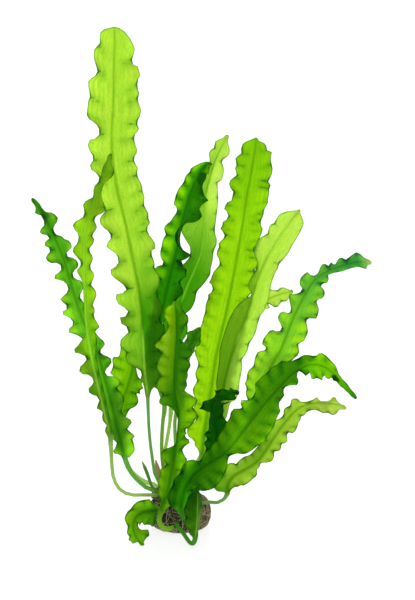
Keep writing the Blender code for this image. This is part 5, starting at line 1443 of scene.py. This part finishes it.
def leaf_tissue_group():
    """Veins, midrib, painted shade of creases and rims, painted shade and light, and mottling of a leaf, on
    its own UV map and attributes.
    """
    group = bpy.data.node_groups.new("leaf_tissue", "ShaderNodeTree")
    # The Deep colours paint shade; Pale paints light and also a leaf's own paler tone.
    for label in ("Lit through", "Face", "Stalk", "Deep", "Deep face", "Pale"):
        group.interface.new_socket(label, in_out="INPUT", socket_type="NodeSocketColor")
    for label in ("Lit through", "Face"):
        group.interface.new_socket(label, in_out="OUTPUT", socket_type="NodeSocketColor")
    group.interface.new_socket("Height", in_out="OUTPUT", socket_type="NodeSocketFloat")
    given = group.nodes.new("NodeGroupInput")
    put_out = group.nodes.new("NodeGroupOutput")
    uv = node(group, "ShaderNodeUVMap", uv_map="leaf")
    split = node(group, "ShaderNodeSeparateXYZ", {0: uv.outputs[0]})

    def clouded(where, kind):
        made = node(group, "ShaderNodeTexNoise", {"Vector": where, "Scale": kind[0], "Detail": kind[1]})
        return made.outputs[0]

    from_rib = math_node(group, "ABSOLUTE", math_node(group, "MULTIPLY_ADD", split.outputs[0], 2, -1))
    run = split.outputs[1]
    drift = math_node(group, "SUBTRACT", clouded(uv.outputs[0], DRIFT), 0.5)
    clouds = clouded(uv.outputs[0], CLOUDS)
    patches = clouded(uv.outputs[0], PATCHES)
    streaked = node(group, "ShaderNodeCombineXYZ", {
        0: math_node(group, "MULTIPLY", split.outputs[0], STREAKS_ACROSS),
        1: math_node(group, "MULTIPLY", run, STREAKS_ALONG),
    })
    streaks = clouded(streaked.outputs[0], STREAKS)
    facts = {
        kind: node(group, "ShaderNodeAttribute", attribute_name=kind).outputs["Fac"]
        for kind in LEAF_FACTS
    }
    net = math_node(group, "MULTIPLY", vein_net(group, from_rib, run, drift), facts["blade"])
    dark = veins_and_painted_shade(group, facts, net, patches)
    rib = math_node(group, "MULTIPLY", facts["rib"], RIB_DARK)
    light_rib = math_node(group, "POWER", facts["rib"], LIGHT_RIB_SHARP)
    light_rib = math_node(group, "MULTIPLY", light_rib, facts["pale"])
    mottle = math_node(group, "MULTIPLY_ADD", clouds, MOTTLE_BY_CLOUDS, MOTTLE_LEAST)
    mottle = math_node(group, "MULTIPLY_ADD", streaks, MOTTLE_BY_STREAKS, mottle)
    mottle = math_node(group, "MULTIPLY_ADD", patches, MOTTLE_BY_PATCHES, mottle)
    shade = node(group, "ShaderNodeCombineXYZ", {0: mottle, 1: mottle, 2: mottle})
    wandering = math_node(group, "MULTIPLY_ADD", clouds, *TONE_BY_CLOUDS)
    tone_with_painted_shade = math_node(group, "ADD", facts["tone_with_painted_shade"], wandering)
    # Tone above 0 paints shade with the deep colours. Tone below 0 paints light, and a leaf's own paler tone,
    # with the palest one.
    painted_shade_share = math_node(group, "MULTIPLY", tone_with_painted_shade, 1, clamp=True)
    light = math_node(group, "MULTIPLY", tone_with_painted_shade, -1, clamp=True)
    for k, (label, deep_label) in enumerate((("Lit through", "Deep"), ("Face", "Deep face"))):
        colour = mixed(group, painted_shade_share, given.outputs[label], given.outputs[deep_label])
        colour = mixed(group, light, colour, given.outputs["Pale"])
        colour = mixed(group, facts["blade"], given.outputs["Stalk"], colour)
        colour = mixed(group, rib, colour, mixed(group, 1.0, colour, RIB_SHADE, "MULTIPLY"))
        colour = mixed(group, light_rib, colour, LIGHT_RIB)
        # Veins, and the painted shade of rims and creases, darken the colour.
        colour = mixed(group, dark, colour, mixed(group, 1.0, colour, PAINTED_CREASE_SHADE, "MULTIPLY"))
        colour = mixed(group, 1.0, colour, shade.outputs[0], "MULTIPLY")
        group.links.new(colour, put_out.inputs[k])
    height = math_node(group, "MULTIPLY_ADD", net, VEIN_RELIEF, 1)
    group.links.new(height, put_out.inputs["Height"])
    return group


def leaf_material(name, lit, face):
    """Thin, wet leaf tissue: some of what shows is its lit face, most is light from behind."""
    made = bpy.data.materials.new(name + "_tissue")
    made.use_nodes = True
    tree = made.node_tree
    tree.nodes.clear()
    # The deep colours, that paint shade.
    painted_shade_lit = (lit[0] * PAINTED_SHADE_LIT[0], lit[1] * PAINTED_SHADE_LIT[1], lit[2] * PAINTED_SHADE_BLUE.get(name, PAINTED_SHADE_BLUE_USUAL))
    painted_shade_face = tuple(value * share for value, share in zip(face, PAINTED_SHADE_FACE))
    tissue = node(tree, "ShaderNodeGroup", node_tree=leaf_tissue)
    for label, colour in (
        ("Lit through", lit), ("Face", face), ("Deep", painted_shade_lit), ("Deep face", painted_shade_face),
        ("Pale", PALEST), ("Stalk", STALKS.get(name, STALK_GREEN)),
    ):
        tissue.inputs[label].default_value = (*colour, 1)
    bump = node(tree, "ShaderNodeBump", {
        "Height": tissue.outputs["Height"], "Strength": 0.3, "Distance": 0.2 * MM,
    })
    skin = node(tree, "ShaderNodeBsdfPrincipled", {
        "Base Color": tissue.outputs["Face"], "Roughness": 0.55, "IOR": 1.3, "Specular IOR Level": 0.15,
        "Normal": bump.outputs[0],
    })
    glow = node(tree, "ShaderNodeBsdfTranslucent", {"Color": tissue.outputs["Lit through"]})
    blend = node(tree, "ShaderNodeMixShader", {0: LIGHT_THROUGH, 1: skin.outputs[0], 2: glow.outputs[0]})
    out = node(tree, "ShaderNodeOutputMaterial")
    tree.links.new(blend.outputs[0], out.inputs[0])
    return made


def plain_material(name, colour, roughness, grain=ROOT_GRAIN):
    """A matte colour that a fine grain makes darker and lighter."""
    fineness, contrast = grain
    made = bpy.data.materials.new(name)
    made.use_nodes = True
    tree = made.node_tree
    shader = tree.nodes["Principled BSDF"]
    where = node(tree, "ShaderNodeTexCoord")
    grains = node(tree, "ShaderNodeTexNoise", {
        "Vector": where.outputs["Object"], "Scale": fineness, "Detail": 3,
    })
    share = math_node(tree, "MULTIPLY_ADD", grains.outputs[0], contrast, 0.5 - contrast / 2, clamp=True)
    dark, light = (tuple(min(1, value * shade) for value in colour) for shade in GRAIN_SHADES)
    tree.links.new(mixed(tree, share, dark, light), shader.inputs["Base Color"])
    shader.inputs["Roughness"].default_value = roughness
    return made


def plug_point(angle, rise, out=0):
    """A point of the plug's side, at a height from 0 to 1, set out by some distance."""
    share = float(np.interp(rise, *zip(*PLUG_PROFILE)))
    return Vector((
        (PLUG_HALF_WIDTH * share + out) * math.cos(angle),
        (PLUG_HALF_DEPTH * share + out) * math.sin(angle),
        PLUG_HEIGHT * rise,
    ))


def root_ball():
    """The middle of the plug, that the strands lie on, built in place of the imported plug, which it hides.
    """
    bpy.ops.object.select_all(action="DESELECT")
    bpy.ops.mesh.primitive_cylinder_add(vertices=BALL_SIDES, radius=1, depth=1, end_fill_type="TRIFAN")
    ball = bpy.context.object
    ball.name = "root_ball"
    cut_sides(ball, BALL_CUTS)
    for vert in ball.data.vertices:
        rise = vert.co.z + 0.5
        if math.hypot(vert.co.x, vert.co.y) < 0.5:
            vert.co = Vector((0, 0, PLUG_HEIGHT * rise))
            continue
        point = plug_point(math.atan2(vert.co.y, vert.co.x), rise, BALL_OUT)
        pit = noise.fractal(point * PITS_PER_METRE, *PIT_LAYERS)
        if 0 < rise < 1:
            point += Vector((point.x, point.y, 0)).normalized() * min(HIGHEST_LUMP, pit) * PIT_DEPTH
        vert.co = point
    smooth(ball)
    # The plug's near black middle paints the shade in the gaps between the strands.
    ball.data.materials.append(plain_material("packed_root_and_gap_shade", PACKED_BROWN_AND_GAP_SHADE, 0.95))
    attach(ball, "root")
    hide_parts("root_plug")


def wound_strands(count, steps, seed, out, least_right, most_right):
    """Lines that wander over the plug's side and shoulders, from one share of its half width to another."""
    draw = random.Random(seed)
    lines = []
    for _ in range(count):
        angle = draw.uniform(0, math.tau)
        rise = draw.uniform(LOWEST_START, 1)
        heading = draw.uniform(0, math.tau)
        lay = draw.uniform(0, out)
        if noise.noise(plug_point(angle, rise) * BARE_SPOTS_PER_METRE) < BARE_BELOW:
            continue
        if not least_right <= math.cos(angle) <= most_right:
            continue
        line = []
        for _ in range(steps):
            line.append(plug_point(angle, min(max(rise, LOWEST_RISE), 1), lay))
            heading += draw.uniform(-STRAND_TURN, STRAND_TURN)
            angle += math.cos(heading) * STRAND_STEP / PLUG_HALF_WIDTH
            rise += math.sin(heading) * STRAND_STEP / PLUG_HEIGHT
            lay = min(max(lay + draw.uniform(-LAY_CHANGE, LAY_CHANGE), DEEPEST_LAY), out)
            if rise < LOWEST_RISE or rise > 1:
                heading = -heading
        lines.append(line)
    return lines


def strand_curve(name, lines, thick, colour, roughness):
    """Fine round strands along many lines of points, as one mesh."""
    data = bpy.data.curves.new(name, "CURVE")
    data.dimensions = "3D"
    data.bevel_depth = thick
    data.bevel_resolution = 0
    data.use_fill_caps = True
    for line in lines:
        spline = data.splines.new("POLY")
        spline.points.add(len(line) - 1)
        for k, (target, place) in enumerate(zip(spline.points, line)):
            target.co = (*place, 1)
            target.radius = 1 - STRAND_TAPER * (k / (len(line) - 1)) ** 3
    strands = bpy.data.objects.new(name, data)
    bpy.context.scene.collection.objects.link(strands)
    bpy.ops.object.select_all(action="DESELECT")
    strands.select_set(True)
    bpy.context.view_layer.objects.active = strands
    bpy.ops.object.convert(target="MESH")
    strands = bpy.context.object
    bpy.ops.object.shade_smooth()
    strands.data.materials.append(plain_material(name + "_fibre", colour, roughness))
    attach(strands, "root")


def floor_and_light():
    """A pale floor in a soft white room, with a low sun behind the plant."""
    bpy.ops.object.select_all(action="DESELECT")
    bpy.ops.mesh.primitive_plane_add(size=FLOOR_SIZE, location=(0, 0, FLOOR_LEVEL))
    floor = bpy.context.object
    floor.name = "pale_floor"
    made = bpy.data.materials.new("pale_floor")
    made.use_nodes = True
    tree = made.node_tree
    tree.nodes.clear()
    glow = node(tree, "ShaderNodeEmission", {"Color": WHITE, "Strength": FLOOR_GLOW})
    matte = node(tree, "ShaderNodeBsdfDiffuse", {"Color": FLOOR_GREY})
    both = node(tree, "ShaderNodeAddShader", {0: glow.outputs[0], 1: matte.outputs[0]})
    out = node(tree, "ShaderNodeOutputMaterial")
    tree.links.new(both.outputs[0], out.inputs[0])
    floor.data.materials.append(made)
    world = bpy.data.worlds.new("soft_room")
    bpy.context.scene.world = world
    world.use_nodes = True
    world.node_tree.nodes["Background"].inputs[0].default_value = WHITE
    world.node_tree.nodes["Background"].inputs[1].default_value = ROOM_LIGHT
    back = bpy.data.lights.new("back_light", "SUN")
    back.energy = BACK_LIGHT
    back.angle = BACK_LIGHT_SPREAD
    lamp = bpy.data.objects.new("back_light", back)
    bpy.context.scene.collection.objects.link(lamp)
    lamp.rotation_euler = (BACK_LIGHT_TILT, 0, 0)


def camera():
    """A camera that sees the plant from the front, the picture's height filled."""
    data = bpy.data.cameras.new("front")
    shown = PICTURE[1] * MM_PER_PIXEL * MM
    data.sensor_width = SENSOR
    data.lens = SENSOR * VIEW_DISTANCE / shown
    data.clip_end = FARTHEST_SEEN
    front = bpy.data.objects.new("front", data)
    bpy.context.scene.collection.objects.link(front)
    front.location = VIEW_AIM - VIEW_AWAY * VIEW_DISTANCE
    front.rotation_euler = (math.pi / 2 - VIEW_TILT, 0, 0)
    bpy.context.scene.camera = front
    bpy.context.scene.view_settings.view_transform = "Standard"


camera()
floor_and_light()
leaf_tissue = leaf_tissue_group()
for seed, name in enumerate(LEAVES):
    leaf_piece(name, seed)
root_ball()
for name, count, steps, seed, out, thick, colour, roughness, (left, right) in ROOTS:
    strand_curve(name, wound_strands(count, steps, seed, out, left, right), thick, colour, roughness)
crown = frame["nodes"]["crown"]
crown.data.materials.clear()
crown.data.materials.append(plain_material("crown_bark", BARK_BROWN, 0.85, BARK_GRAIN))
